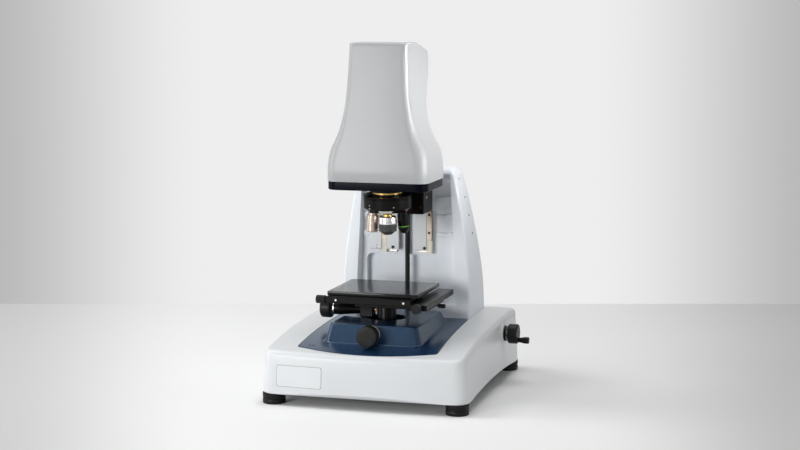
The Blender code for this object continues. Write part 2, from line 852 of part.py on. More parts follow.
def open_front():
    """Space between the two wings, back to the inner wall."""
    lintel = COLUMN_TOP - COLUMN_LINTEL
    levels = [RECESS_BOTTOM] + [z for z in column_levels() if RECESS_BOTTOM + 0.01 < z < lintel - 0.005]
    levels.append(lintel)
    rings = []
    for z in levels:
        half_width = column_inner_half_width(z)
        splay = 0.004
        rings.append([
            (-half_width, COLUMN_FRONT - 0.01, z), (half_width, COLUMN_FRONT - 0.01, z),
            (half_width - splay, INNER_WALL - 0.004, z), (half_width - splay - 0.004, INNER_WALL, z),
            (-half_width + splay + 0.004, INNER_WALL, z), (-half_width + splay, INNER_WALL - 0.004, z),
        ])
    return stack_rings(rings)


def lower_recess():
    """Deeper pocket in the lower part of the inner wall."""
    outline = rounded_box_outline(-RECESS_HALF_WIDTH, RECESS_HALF_WIDTH, RECESS_BOTTOM, RECESS_TOP,
                                  RECESS_CORNER)
    return prism(outline, INNER_WALL - 0.006, RECESS_WALL, "Y")


def rear_hollow():
    """Hollow behind the inner wall, open at the back under the rear cover."""
    half_width = REAR_COVER_HALF_WIDTH - 0.008
    front = RECESS_WALL + COLUMN_BACK_WALL
    outline = [
        (front, REAR_COVER_BOTTOM + 0.008), (COLUMN_REAR_FOOT + 0.02, REAR_COVER_BOTTOM + 0.008),
        (COLUMN_REAR_FOOT + 0.02, REAR_COVER_TOP - 0.008), (front, REAR_COVER_TOP - 0.008),
    ]
    return prism(outline, -half_width, half_width, "X")


def rear_cover_band(inner, outer, margin):
    """Band that follows the column's rear face between two offsets from it."""
    steps = 6
    low = REAR_COVER_BOTTOM - margin
    high = REAR_COVER_TOP + margin
    levels = [low + (high - low) * step / steps for step in range(steps + 1)]
    outline = [(column_rear(z) + inner, z) for z in levels]
    outline += [(column_rear(z) + outer, z) for z in reversed(levels)]
    return prism(outline, -REAR_COVER_HALF_WIDTH - margin, REAR_COVER_HALF_WIDTH + margin, "X")


def rib_shape(side, z):
    """Horizontal rib on the inner wall with a round pad at its inner end."""
    outer = column_inner_half_width(z) - 0.006
    inner = RIB_INNER_X
    low_x, high_x = sorted((side * inner, side * outer))
    bar = block((low_x, INNER_WALL - RIB_DEPTH, z - RIB_HALF_HEIGHT),
                (high_x, INNER_WALL + 0.002, z + RIB_HALF_HEIGHT))
    pad = rod(RIB_PAD_RADIUS, INNER_WALL - RIB_DEPTH - 0.0006, INNER_WALL + 0.002, "Y",
              (side * (outer - 0.006), 0.0, z), 8)
    return bar, pad


def build_column(parent):
    """Column casting, its rear cover and the steel rails."""
    shape = cut(column_outer(), open_front(), lower_recess(), rear_hollow(),
                rear_cover_band(-REAR_COVER_THICKNESS - SEAT_GAP, 0.02, SEAT_GAP))
    ribs = []
    for side in (-1.0, 1.0):
        for z in RIB_HEIGHTS:
            ribs.extend(rib_shape(side, z))
    shape = join(shape, *ribs)
    shape = cut(shape, rod(SCREW_RADIUS + 0.001, BASE_TOP_REAR - 0.01, RECESS_BOTTOM + 0.01, "Z",
                           (0.0, SCREW_Y, 0.0), 16))
    add_piece("column_casting", shape, "white_paint", parent)
    add_piece("column_rear_cover", rear_cover_band(-REAR_COVER_THICKNESS, 0.0, -SEAT_GAP),
              "white_paint", parent)
    for side, sign in (("left", -1.0), ("right", 1.0)):
        low_x, high_x = sorted((sign * RAIL_INNER_X, sign * (RAIL_INNER_X + RAIL_WIDTH)))
        rail = block((low_x, INNER_WALL - SEAT_GAP - RAIL_THICKNESS, RAIL_BOTTOM),
                     (high_x, INNER_WALL - SEAT_GAP, RAIL_TOP), 0.0008, 1)
        add_piece("guide_rail_%s" % side, rail, "steel", parent)


# Lift drive

def bevel_gear(low, high, axis, centre):
    """Bevel gear with straight teeth, wide at its low end."""
    rings = []
    for level, scale in ((low, 1.0), (high, 0.55)):
        ring = []
        for step in range(GEAR_TEETH * 4):
            radius = GEAR_RADIUS if step % 4 < 2 else GEAR_RADIUS - GEAR_TOOTH_DEPTH
            angle = 2.0 * math.pi * step / (GEAR_TEETH * 4)
            ring.append((scale * radius * math.cos(angle), scale * radius * math.sin(angle), level))
        rings.append(ring)
    shape = stack_rings(rings)
    turn_to_axis(shape, axis)
    bmesh.ops.translate(shape, verts=shape.verts, vec=centre)
    return shape


def bearing_block(low, high, front, back, half_width):
    """Bearing block with a bore for the lead screw."""
    shape = block((-half_width, front, low), (half_width, back, high), 0.001, 1)
    return cut(shape, rod(SCREW_RADIUS + RUNNING_FIT, low - 0.01, high + 0.01, "Z",
                          (0.0, SCREW_Y, 0.0), 16))


def build_drive(parent):
    """Lead screw with its gear and bearings."""
    gear_low = DRIVE_Z - GEAR_RADIUS - GEAR_BACKLASH
    gear_high = gear_low + GEAR_FACE
    screw = join(
        rod(SCREW_RADIUS, gear_low + 0.001, SCREW_TOP, "Z", (0.0, SCREW_Y, 0.0), 16),
        bevel_gear(gear_low, gear_high, "Z", (0.0, SCREW_Y, 0.0)),
    )
    add_piece("lead_screw", screw, "black_steel", parent, (0.0, SCREW_Y, DRIVE_Z))
    lower_top = base_top(SCREW_Y + BEARING_HALF_WIDTH) - BASE_DECK - SEAT_GAP - 0.001
    lower = bearing_block(lower_top - LOWER_BEARING_THICKNESS, lower_top,
                          SCREW_Y - BEARING_HALF_WIDTH, SCREW_Y + BEARING_HALF_WIDTH,
                          BEARING_HALF_WIDTH)
    add_piece("lower_screw_bearing", lower, "steel", parent)
    upper_top = COLUMN_TOP - COLUMN_LINTEL - SEAT_GAP
    upper = bearing_block(upper_top - UPPER_BEARING_THICKNESS, upper_top,
                          CARRIAGE_FRONT + BEARING_SETBACK, INNER_WALL - SEAT_GAP, BEARING_HALF_WIDTH)
    add_piece("upper_screw_bearing", upper, "steel", parent)


def build_crank(parent):
    """Flange, shaft with its gear, wheel and revolving grip on the right of the base."""
    axis_point = (0.0, SCREW_Y, DRIVE_Z)
    wall = BASE_HALF_WIDTH + SEAT_GAP
    flange_outer = wall + CRANK_FLANGE_THICKNESS
    flange = sleeve(CRANK_FLANGE_RADIUS, CRANK_SHAFT_RADIUS + RUNNING_FIT, wall, flange_outer, "X",
                    axis_point, 28)
    add_piece("crank_flange", flange, "black_anodised", parent)
    wheel_low = flange_outer + CRANK_WHEEL_GAP
    wheel_high = wheel_low + CRANK_WHEEL_LENGTH
    gear_back = GEAR_RADIUS + GEAR_BACKLASH
    shaft = join(
        rod(CRANK_SHAFT_RADIUS, gear_back - 0.001, wheel_low + CRANK_WHEEL_LENGTH * 0.6, "X",
            axis_point, 16),
        bevel_gear(gear_back, gear_back - GEAR_FACE, "X", axis_point),
    )
    origin = (wheel_low, SCREW_Y, DRIVE_Z)
    add_piece("crank_shaft", shaft, "steel", parent, origin)
    wheel = cut(
        soft_disc(CRANK_WHEEL_RADIUS, wheel_low, wheel_high, 0.003, "X", axis_point, 20),
        rod(CRANK_SHAFT_RADIUS + SEAT_GAP, wheel_low - 0.01,
            wheel_low + CRANK_WHEEL_LENGTH * 0.6 + SEAT_GAP, "X", axis_point, 16),
    )
    pin_high = wheel_high + GRIP_LENGTH * 0.75
    pin = rod(CRANK_PIN_RADIUS, wheel_high - 0.002, pin_high, "X", grip_centre(), 12)
    add_piece("crank_wheel", join(wheel, pin), "black_plastic", parent, origin)
    neck = wheel_high + RUNNING_FIT
    end = neck + GRIP_LENGTH
    bore = CRANK_PIN_RADIUS + RUNNING_FIT
    bore_end = pin_high + RUNNING_FIT
    profile = (
        (bore, neck), (GRIP_NECK_RADIUS, neck), (GRIP_NECK_RADIUS * 0.94, neck + GRIP_LENGTH * 0.30),
        (GRIP_RADIUS, end - 0.006), (GRIP_RADIUS, end - 0.002), (GRIP_RADIUS - 0.002, end),
        (0.0, end),
    )
    bored = ((0.0, bore_end), (bore, bore_end)) + profile
    add_piece("crank_grip", turned(bored, 16, "X", grip_centre()), "black_plastic", parent,
              (neck, SCREW_Y, DRIVE_Z - CRANK_THROW))


def grip_centre():
    """Point on the grip's own axis."""
    return (0.0, SCREW_Y, DRIVE_Z - CRANK_THROW)


# Lift carriage

def build_carriage(parent):
    """White carriage with its strips, wipers, switch cover and nut."""
    back = INNER_WALL - SEAT_GAP - RAIL_THICKNESS - RUNNING_FIT
    for_screw = SCREW_RADIUS + 0.001
    body = block((-CARRIAGE_HALF_WIDTH, CARRIAGE_FRONT, CARRIAGE_BOTTOM),
                 (CARRIAGE_HALF_WIDTH, back, CARRIAGE_TOP), 0.0015, 1)
    channel = block((-CARRIAGE_CHANNEL, CARRIAGE_FRONT - 0.01, CARRIAGE_BOTTOM - 0.01),
                    (CARRIAGE_CHANNEL, back + 0.01, CARRIAGE_BRIDGE))
    slot = block((-for_screw, SCREW_Y - for_screw, CARRIAGE_BRIDGE - 0.01),
                 (for_screw, back + 0.01, CARRIAGE_TOP + 0.01))
    add_piece("lift_carriage", cut(body, channel, slot), "white_paint", parent)
    for side, sign in (("left", -1.0), ("right", 1.0)):
        inner = sign * (CARRIAGE_HALF_WIDTH + SEAT_GAP)
        low_x, high_x = sorted((inner, inner + sign * STRIP_WIDTH))
        strip = block((low_x, CARRIAGE_FRONT + 0.001, STRIP_BOTTOM), (high_x, back, STRIP_TOP))
        add_piece("gib_strip_%s" % side, strip, "tan_metal", parent)
        wiper = block((low_x, CARRIAGE_FRONT + 0.001, WIPER_BOTTOM),
                      (high_x, back, STRIP_BOTTOM - SEAT_GAP))
        add_piece("way_wiper_%s" % side, wiper, "cream_plastic", parent)
    switch_right = -CARRIAGE_HALF_WIDTH - 2.0 * SEAT_GAP - STRIP_WIDTH
    switch = block((switch_right - SWITCH_WIDTH, CARRIAGE_FRONT, CARRIAGE_BOTTOM),
                   (switch_right, INNER_WALL - RIB_DEPTH - 0.001, SWITCH_TOP), 0.002, 2)
    add_piece("limit_switch_cover", switch, "white_paint", parent)
    nut_half = CARRIAGE_CHANNEL - SEAT_GAP
    nut_top = NUT_BOTTOM + NUT_HEIGHT
    nut = block((-nut_half, CARRIAGE_FRONT + SEAT_GAP, NUT_BOTTOM),
                (nut_half, INNER_WALL - 0.0008, nut_top), 0.001, 1)
    nut = cut(nut, rod(SCREW_RADIUS + RUNNING_FIT, NUT_BOTTOM - 0.01, nut_top + 0.01, "Z",
                       (0.0, SCREW_Y, 0.0), 16))
    add_piece("lift_nut", nut, "brass", parent)


def build_bracket(parent):
    """Black bracket that carries the head on the carriage."""
    top = HEAD_PLATE_BOTTOM - SEAT_GAP
    bracket = block((-BRACKET_HALF_WIDTH, BRACKET_FRONT, BRACKET_BOTTOM),
                    (BRACKET_HALF_WIDTH, CARRIAGE_FRONT - SEAT_GAP, top), 0.002, 2)
    hollow = block((-BRACKET_HALF_WIDTH + BRACKET_WALL, BRACKET_FRONT + BRACKET_WALL,
                    BRACKET_BOTTOM - 0.01),
                   (BRACKET_HALF_WIDTH - BRACKET_WALL, CARRIAGE_FRONT + 0.01, top - BRACKET_WALL))
    flange = block((-BRACKET_HALF_WIDTH, BRACKET_TONGUE_FRONT, top - BRACKET_TONGUE_THICKNESS),
                   (BRACKET_HALF_WIDTH, BRACKET_FRONT + BRACKET_WALL, top), 0.001, 1)
    add_piece("head_bracket", join(cut(bracket, hollow), flange), "black_anodised", parent)


# Head

def smooth(share):
    """Ease from 0 to 1."""
    return share * share * (3.0 - 2.0 * share)


def head_half_width(z):
    """Half-width of the head cover: broad at the bottom and waisted above."""
    above = z - HEAD_FLARE_Z
    spread = HEAD_FLARE_SPREAD + HEAD_FLARE_EASE * math.tanh(above / HEAD_FLARE_EASE_HEIGHT)
    flare = HEAD_FLARE / (1.0 + math.exp(above / spread))
    taper = HEAD_TAPER * min((HEAD_TOP - z) / (HEAD_TOP - HEAD_FLARE_Z), 1.0)
    return HEAD_TOP_HALF_WIDTH + taper + flare


def head_front(z):
    """Front face of the head cover, upright below the crease and leaning back above it."""
    share = max(z - HEAD_CREASE_Z, 0.0) / (HEAD_TOP - HEAD_CREASE_Z)
    return HEAD_FRONT + HEAD_LEAN * share


def climb(z, low, high):
    """Share of the way from a low height to a high one, from 0 to 1."""
    return min(max((z - low) / (high - low), 0.0), 1.0)


def head_rear(z):
    """Rear face of the head cover: in at the waist, out to the crown, then sloping to the top."""
    if z <= HEAD_WAIST_Z:
        share = smooth(climb(z, HEAD_CREASE_Z, HEAD_WAIST_Z))
        return HEAD_REAR + (HEAD_WAIST_REAR - HEAD_REAR) * share
    if z <= HEAD_CROWN_Z:
        share = smooth(climb(z, HEAD_SWELL_Z, HEAD_CROWN_Z))
        return HEAD_WAIST_REAR + (HEAD_CROWN_REAR - HEAD_WAIST_REAR) * share
    if z <= HEAD_SLOPE_Z:
        share = climb(z, HEAD_CROWN_Z, HEAD_SLOPE_Z)
        return HEAD_CROWN_REAR + (HEAD_SLOPE_REAR - HEAD_CROWN_REAR) * share * share
    share = climb(z, HEAD_SLOPE_Z, HEAD_TOP)
    return HEAD_SLOPE_REAR + (HEAD_TOP_REAR - HEAD_SLOPE_REAR) * share


def head_plan(z, inset, rear):
    """Plan outline of the head cover at a height, with its own rear face."""
    rounding = smooth(climb(z, HEAD_CORNER_LOW_Z, HEAD_CORNER_HIGH_Z))
    corner = HEAD_CORNER + (HEAD_TOP_CORNER - HEAD_CORNER) * rounding
    return whole_plan(half_plan(
        head_half_width(z) - inset, head_front(z) + inset, rear - inset, corner - inset,
        rear_corner=min(HEAD_REAR_CORNER, corner * HEAD_REAR_CORNER_SHARE) - inset,
        side_steps=2, corner_steps=4, front_steps=1,
    )[1:])


def head_ring(z, inset, level=None):
    """Outline of the head cover's outside at a height, moved in and set at a level."""
    return at_height(head_plan(z, inset, head_rear(z)), z if level is None else level)


def head_inner_ring(z):
    """Outline of the head cover's inside, which keeps its wall under the sloping top too."""
    rear = min(head_rear(z), head_rear(z + HEAD_ROOF_DROP))
    return at_height(head_plan(z, HEAD_WALL, rear), z)


def spaced(low, high, steps):
    """Evenly spaced levels from low to high."""
    return [low + (high - low) * step / steps for step in range(steps + 1)]


def head_shape():
    """Shell of the head cover, open below."""
    bottom = HEAD_PLATE_BOTTOM + HEAD_PLATE_THICKNESS + SEAT_GAP
    shoulder = HEAD_SHOULDER_Z
    levels = [bottom] + spaced(HEAD_CREASE_Z, shoulder, 6) + spaced(shoulder, HEAD_CROWN_Z, 4)[1:]
    levels += [HEAD_CROWN_Z + HEAD_CROWN_RISE, HEAD_SLOPE_Z, HEAD_TOP - HEAD_TOP_EDGE]
    outer = [head_ring(z, 0.0) for z in levels]
    outer.append(head_ring(HEAD_TOP - HEAD_TOP_EDGE * HEAD_EDGE_MIDDLE, HEAD_TOP_EDGE * HEAD_EDGE_MIDDLE))
    outer.append(head_ring(HEAD_TOP, HEAD_TOP_EDGE))
    inner_heights = [bottom] + spaced(HEAD_CREASE_Z, shoulder, 3) + spaced(shoulder, HEAD_CROWN_Z, 3)[1:]
    inner_heights += [HEAD_SLOPE_Z - HEAD_ROOF_DROP, HEAD_TOP - HEAD_TOP_EDGE - HEAD_WALL]
    inner = [head_inner_ring(z) for z in inner_heights]
    shape = bmesh.new()
    outside = [[shape.verts.new(point) for point in ring] for ring in outer]
    inside = [[shape.verts.new(point) for point in ring] for ring in inner]
    for wall in (outside, inside):
        for lower, upper in zip(wall, wall[1:]):
            bridge(shape, lower, upper)
        shape.faces.new(wall[-1])
    bridge(shape, outside[0], inside[0])
    face_outward(shape)
    return shape


def optic_axis():
    """Point where the light path meets the objective in use, in plan."""
    return (PORT_CIRCLE * math.cos(FRONT_PORT), TURRET_Y + PORT_CIRCLE * math.sin(FRONT_PORT))


def build_head(parent):
    """Head plate, cover and the optics between them."""
    low_z = HEAD_PLATE_BOTTOM
    high_z = HEAD_PLATE_BOTTOM + HEAD_PLATE_THICKNESS
    plate = stack_rings([
        head_ring(low_z, HEAD_PLATE_INSET + 0.0025),
        head_ring(low_z, HEAD_PLATE_INSET, low_z + 0.0025),
        head_ring(low_z, HEAD_PLATE_INSET, high_z),
    ])
    add_piece("head_plate", plate, "navy_paint", parent)
    add_piece("head_cover", head_shape(), "white_paint", parent)
    axis_x, axis_y = optic_axis()
    seat = high_z + SEAT_GAP
    tube = turned((
        (0.0, seat), (OPTIC_TUBE_RADIUS + 0.006, seat), (OPTIC_TUBE_RADIUS + 0.006, seat + 0.005),
        (OPTIC_TUBE_RADIUS, seat + 0.005), (OPTIC_TUBE_RADIUS, OPTIC_TUBE_TOP), (0.0, OPTIC_TUBE_TOP),
    ), 24, "Z", (axis_x, axis_y, 0.0))
    add_piece("optics_tube", tube, "black_anodised", parent)
    box_low = OPTIC_TUBE_TOP + SEAT_GAP
    box_high = box_low + SPLITTER_HEIGHT
    splitter = block((axis_x - SPLITTER_HALF, axis_y - SPLITTER_HALF + 0.004, box_low),
                     (axis_x + SPLITTER_HALF, axis_y + SPLITTER_HALF, box_high), 0.002, 1)
    add_piece("beam_splitter_box", splitter, "black_anodised", parent)
    camera_low = box_high + SEAT_GAP
    camera = block((axis_x - CAMERA_HALF, axis_y - CAMERA_HALF, camera_low),
                   (axis_x + CAMERA_HALF, axis_y + CAMERA_HALF, camera_low + CAMERA_HEIGHT), 0.002, 1)
    add_piece("camera", camera, "grey_metal", parent)
    lamp_low = axis_y + SPLITTER_HALF + SEAT_GAP
    lamp = soft_disc(LAMP_RADIUS, lamp_low, lamp_low + LAMP_LENGTH, 0.003, "Y",
                     (axis_x, 0.0, box_low + SPLITTER_HEIGHT * 0.5), 20)
    add_piece("lamp_housing", lamp, "grey_metal", parent)


# Turret

def leaned(shape):
    """Lean a shape that was made upright around the turret's middle."""
    turn = Matrix.Rotation(TURRET_LEAN, 3, "X")
    bmesh.ops.rotate(shape, verts=shape.verts, cent=(0.0, 0.0, 0.0), matrix=turn)
    bmesh.ops.translate(shape, verts=shape.verts, vec=(0.0, TURRET_Y, TURRET_Z))
    return shape


def ported(shape, port):
    """Move a shape made along Z to a port, leaning outwards from the turret's axis."""
    angle = FRONT_PORT + PORT_STEP * port
    outward = Matrix.Rotation(-TURRET_LEAN, 3, "Y")
    bmesh.ops.rotate(shape, verts=shape.verts, cent=(0.0, 0.0, 0.0), matrix=outward)
    bmesh.ops.translate(shape, verts=shape.verts, vec=(PORT_CIRCLE, 0.0, 0.0))
    bmesh.ops.rotate(shape, verts=shape.verts, cent=(0.0, 0.0, 0.0),
                     matrix=Matrix.Rotation(angle, 3, "Z"))
    return leaned(shape)


def objective(profile, port, steps=20):
    """A turned objective whose profile is (radius, depth below its seat)."""
    seat = -TURRET_HALF_HEIGHT - SEAT_GAP - OBJECTIVE_THREAD_RADIUS * math.tan(TURRET_LEAN)
    return ported(turned([(radius, seat - depth) for radius, depth in profile], steps), port)


def build_turret(parent):
    """Fixed mount, revolving ring and its four objectives."""
    mount_low = TURRET_HALF_HEIGHT + RUNNING_FIT
    pivot = (0.0, TURRET_Y, TURRET_Z)
    top_cut = HEAD_PLATE_BOTTOM - SEAT_GAP
    lid = block((-0.1, TURRET_Y - 0.1, top_cut), (0.1, TURRET_Y + 0.1, top_cut + 0.05))
    mount = leaned(turned((
        (0.0, mount_low), (TURRET_COLLAR_RADIUS + 0.005, mount_low),
        (TURRET_COLLAR_RADIUS + 0.005, mount_low + 0.003), (TURRET_COLLAR_RADIUS, mount_low + 0.003),
        (TURRET_COLLAR_RADIUS, mount_low + 0.0075), (TURRET_MOUNT_RADIUS, mount_low + 0.0075),
        (TURRET_MOUNT_RADIUS, 0.05), (0.0, 0.05),
    ), 24))
    add_piece("turret_mount", cut(mount, lid), "black_anodised", parent)
    collar = leaned(sleeve(TURRET_COLLAR_RADIUS + 0.004, TURRET_COLLAR_RADIUS + SEAT_GAP,
                           mount_low + 0.003 + SEAT_GAP, mount_low + 0.0075 - SEAT_GAP, steps=24))
    add_piece("turret_thread_ring", collar, "brass", parent)
    half = TURRET_HALF_HEIGHT
    inner = TURRET_RADIUS - TURRET_CHAMFER
    ring = leaned(turned((
        (0.0, -half), (inner, -half), (TURRET_RADIUS, -half + TURRET_CHAMFER * 0.8),
        (TURRET_RADIUS, half - 0.005), (TURRET_RADIUS - 0.0015, half - 0.0045),
        (TURRET_RADIUS - 0.0015, half - 0.003), (TURRET_RADIUS, half - 0.0025),
        (TURRET_RADIUS, half), (0.0, half),
    ), 30))
    add_piece("turret_ring", ring, "black_anodised", parent, pivot)
    thread = OBJECTIVE_THREAD_RADIUS
    neck = OBJECTIVE_THREAD_LENGTH
    chrome = ((0.0, 0.0), (thread, 0.0), (thread, neck), (0.0165, neck), (0.0185, neck + 0.002),
              (0.0185, 0.0135), (0.0195, 0.0145), (0.0195, 0.0195), (0.0185, 0.0205), (0.0, 0.0205))
    cone = ((0.0, 0.0), (0.0188, 0.0), (0.0188, 0.0095), (0.0175, 0.0100), (0.0175, 0.0115),
            (0.0188, 0.0120), (0.0188, 0.0135), (0.0080, 0.0215), (0.0, 0.0215))
    add_piece("objective_a_barrel", objective(chrome, 0), "chrome", parent, pivot)
    shifted = [(radius, depth + 0.0205 + SEAT_GAP) for radius, depth in cone]
    add_piece("objective_a_nose", objective(shifted, 0), "black_anodised", parent, pivot)
    green = ((0.0, 0.0), (thread, 0.0), (thread, neck), (0.0115, neck), (0.0118, 0.0275),
             (0.0121, 0.0276), (0.0121, 0.0300), (0.0118, 0.0301), (0.0112, 0.0345),
             (0.0070, 0.0415), (0.0, 0.0415))
    add_piece("objective_b", objective(green, 1), "black_anodised", parent, pivot)
    red = ((0.0, 0.0), (thread, 0.0), (thread, neck), (0.0090, neck), (0.0090, 0.0400),
           (0.0105, 0.0405), (0.0105, 0.0440), (0.0096, 0.0442), (0.0096, 0.0470),
           (0.0060, 0.0510), (0.0, 0.0510))
    add_piece("objective_c", objective(red, 2), "red_metal", parent, pivot)
    tan = ((0.0, 0.0), (thread, 0.0), (thread, neck), (0.0125, neck), (0.0125, 0.0380),
           (0.0115, 0.0390), (0.0, 0.0390))
    add_piece("objective_d", objective(tan, -1), "tan_metal", parent, pivot)


# Tip and tilt

def gimbal_centre():
    """Point where the tip and tilt axes cross."""
    return (0.0, POST_Y, GIMBAL_Z)


def build_gimbal(parent):
    """Pedestal with its lugs and the gimbal ring."""
    lug_outer = GIMBAL_LUG_INNER + GIMBAL_LUG_THICKNESS
    foot = block((-lug_outer, POST_Y - PEDESTAL_HALF_DEPTH, FLOOR_TOP + SEAT_GAP),
                 (lug_outer, POST_Y + PEDESTAL_HALF_DEPTH, PEDESTAL_TOP), 0.002, 1)
    lugs = [
        block((min(sign * GIMBAL_LUG_INNER, sign * lug_outer), POST_Y - LUG_HALF_DEPTH,
               PEDESTAL_TOP - 0.004),
              (max(sign * GIMBAL_LUG_INNER, sign * lug_outer), POST_Y + LUG_HALF_DEPTH, LUG_TOP),
              0.001, 1)
        for sign in (-1.0, 1.0)
    ]
    hole = GIMBAL_PIN_RADIUS + RUNNING_FIT
    bore = rod(hole, -lug_outer - 0.01, lug_outer + 0.01, "X", gimbal_centre(), 16)
    add_piece("stage_pedestal", cut(join(foot, *lugs), bore), "grey_metal", parent)
    ring = sleeve(GIMBAL_RING_OUTER, GIMBAL_RING_INNER, GIMBAL_Z - GIMBAL_RING_HALF_HEIGHT,
                  GIMBAL_Z + GIMBAL_RING_HALF_HEIGHT, "Z", (0.0, POST_Y, 0.0), 20)
    pins = [
        rod(GIMBAL_PIN_RADIUS, *sorted((sign * (GIMBAL_RING_INNER + 0.002), sign * (lug_outer - 0.001))),
            "X", gimbal_centre(), 16)
        for sign in (-1.0, 1.0)
    ]
    ring = join(ring, *pins)
    ring = cut(ring, rod(hole, -GIMBAL_RING_OUTER - 0.01, GIMBAL_RING_OUTER + 0.01, "Y",
                         gimbal_centre(), 16))
    add_piece("gimbal_ring", ring, "steel", parent, gimbal_centre())


def build_post(parent):
    """Round post with the pins of the tilt axis."""
    post = soft_disc(POST_RADIUS, POST_BOTTOM, POST_TOP, 0.001, "Z", (0.0, POST_Y, 0.0), 20)
    reach = GIMBAL_RING_OUTER - 0.001
    pin = rod(GIMBAL_PIN_RADIUS, -reach, reach, "Y", gimbal_centre(), 16)
    add_piece("stage_post", join(post, pin), "black_anodised", parent, gimbal_centre())


def build_tip_control(parent):
    """Bezel, knob and shaft on the front of the plinth."""
    wall_front = PLINTH_FRONT - PLINTH_SPLAY
    centre = (0.0, 0.0, TIP_Z)
    bore = TIP_SHAFT_RADIUS + RUNNING_FIT
    seat = wall_front - TIP_BEZEL_STANDOFF
    bezel = turned((
        (bore, seat - TIP_BEZEL_THICKNESS), (TIP_BEZEL_RADIUS - 0.001, seat - TIP_BEZEL_THICKNESS),
        (TIP_BEZEL_RADIUS, seat - TIP_BEZEL_THICKNESS + 0.001), (TIP_BEZEL_RADIUS, seat),
        (TIP_HUB_RADIUS, seat), (TIP_HUB_RADIUS, seat + TIP_HUB_LENGTH),
        (bore, seat + TIP_HUB_LENGTH),
    ), 20, "Y", centre)
    add_piece("tip_bezel", bezel, "tan_metal", parent)
    knob_rear = TIP_KNOB_FRONT + TIP_KNOB_LENGTH
    socket = TIP_KNOB_LENGTH * 0.6
    origin = (0.0, knob_rear, TIP_Z)
    knob = cut(
        soft_disc(TIP_KNOB_RADIUS, TIP_KNOB_FRONT, knob_rear, 0.002, "Y", centre, 22),
        rod(TIP_SHAFT_RADIUS + SEAT_GAP, knob_rear - socket - SEAT_GAP, knob_rear + 0.01, "Y", centre, 16),
    )
    add_piece("tip_knob", knob, "black_plastic", parent, origin)
    shaft_end = POST_Y - POST_RADIUS - CONTROL_POST_GAP
    shaft = rod(TIP_SHAFT_RADIUS, knob_rear - socket, shaft_end, "Y", centre, 16)
    add_piece("tip_shaft", shaft, "steel", parent, origin)


def build_tilt_control(parent):
    """Knob, shaft, ring, housing and block to the left of the post."""
    centre = (0.0, POST_Y, TILT_Z)
    bore = TILT_SHAFT_RADIUS + RUNNING_FIT
    start = TILT_HOUSING_START
    end = start + TILT_HOUSING_LENGTH
    housing = turned((
        (bore, start), (TILT_HOUSING_RADIUS, start), (TILT_HOUSING_RADIUS, start + 0.014),
        (TILT_HOUSING_SMALL_RADIUS, end), (bore, end),
    ), 28, "X", centre)
    add_piece("tilt_housing", housing, "black_anodised", parent)
    ring = sleeve(TILT_RING_RADIUS, bore, start - SEAT_GAP - TILT_RING_LENGTH, start - SEAT_GAP, "X",
                  centre, 28)
    add_piece("tilt_ring", ring, "nickel", parent)
    block_start = end + SEAT_GAP
    carrier = block((block_start, POST_Y - TILT_BLOCK_HALF_DEPTH, PLINTH_TOP + SEAT_GAP),
                    (block_start + TILT_BLOCK_LENGTH, POST_Y + TILT_BLOCK_HALF_DEPTH, TILT_BLOCK_TOP),
                    0.0015, 1)
    add_piece("tilt_block", cut(carrier, rod(bore, block_start - 0.01,
                                             block_start + TILT_BLOCK_LENGTH + 0.01, "X", centre, 16)),
              "black_anodised", parent)
    knob_inner = TILT_KNOB_OUTER_X + TILT_KNOB_LENGTH
    socket = TILT_KNOB_LENGTH * 0.6
    origin = (knob_inner, POST_Y, TILT_Z)
    knob = cut(
        soft_disc(TILT_KNOB_RADIUS, TILT_KNOB_OUTER_X, knob_inner, 0.003, "X", centre, 22),
        rod(TILT_SHAFT_RADIUS + SEAT_GAP, knob_inner - socket - SEAT_GAP, knob_inner + 0.01, "X",
            centre, 16),
    )
    add_piece("tilt_knob", knob, "black_plastic", parent, origin)
    shaft = rod(TILT_SHAFT_RADIUS, knob_inner - socket, -POST_RADIUS - CONTROL_POST_GAP, "X", centre, 16)
    add_piece("tilt_shaft", shaft, "copper", parent, origin)


# XY stage

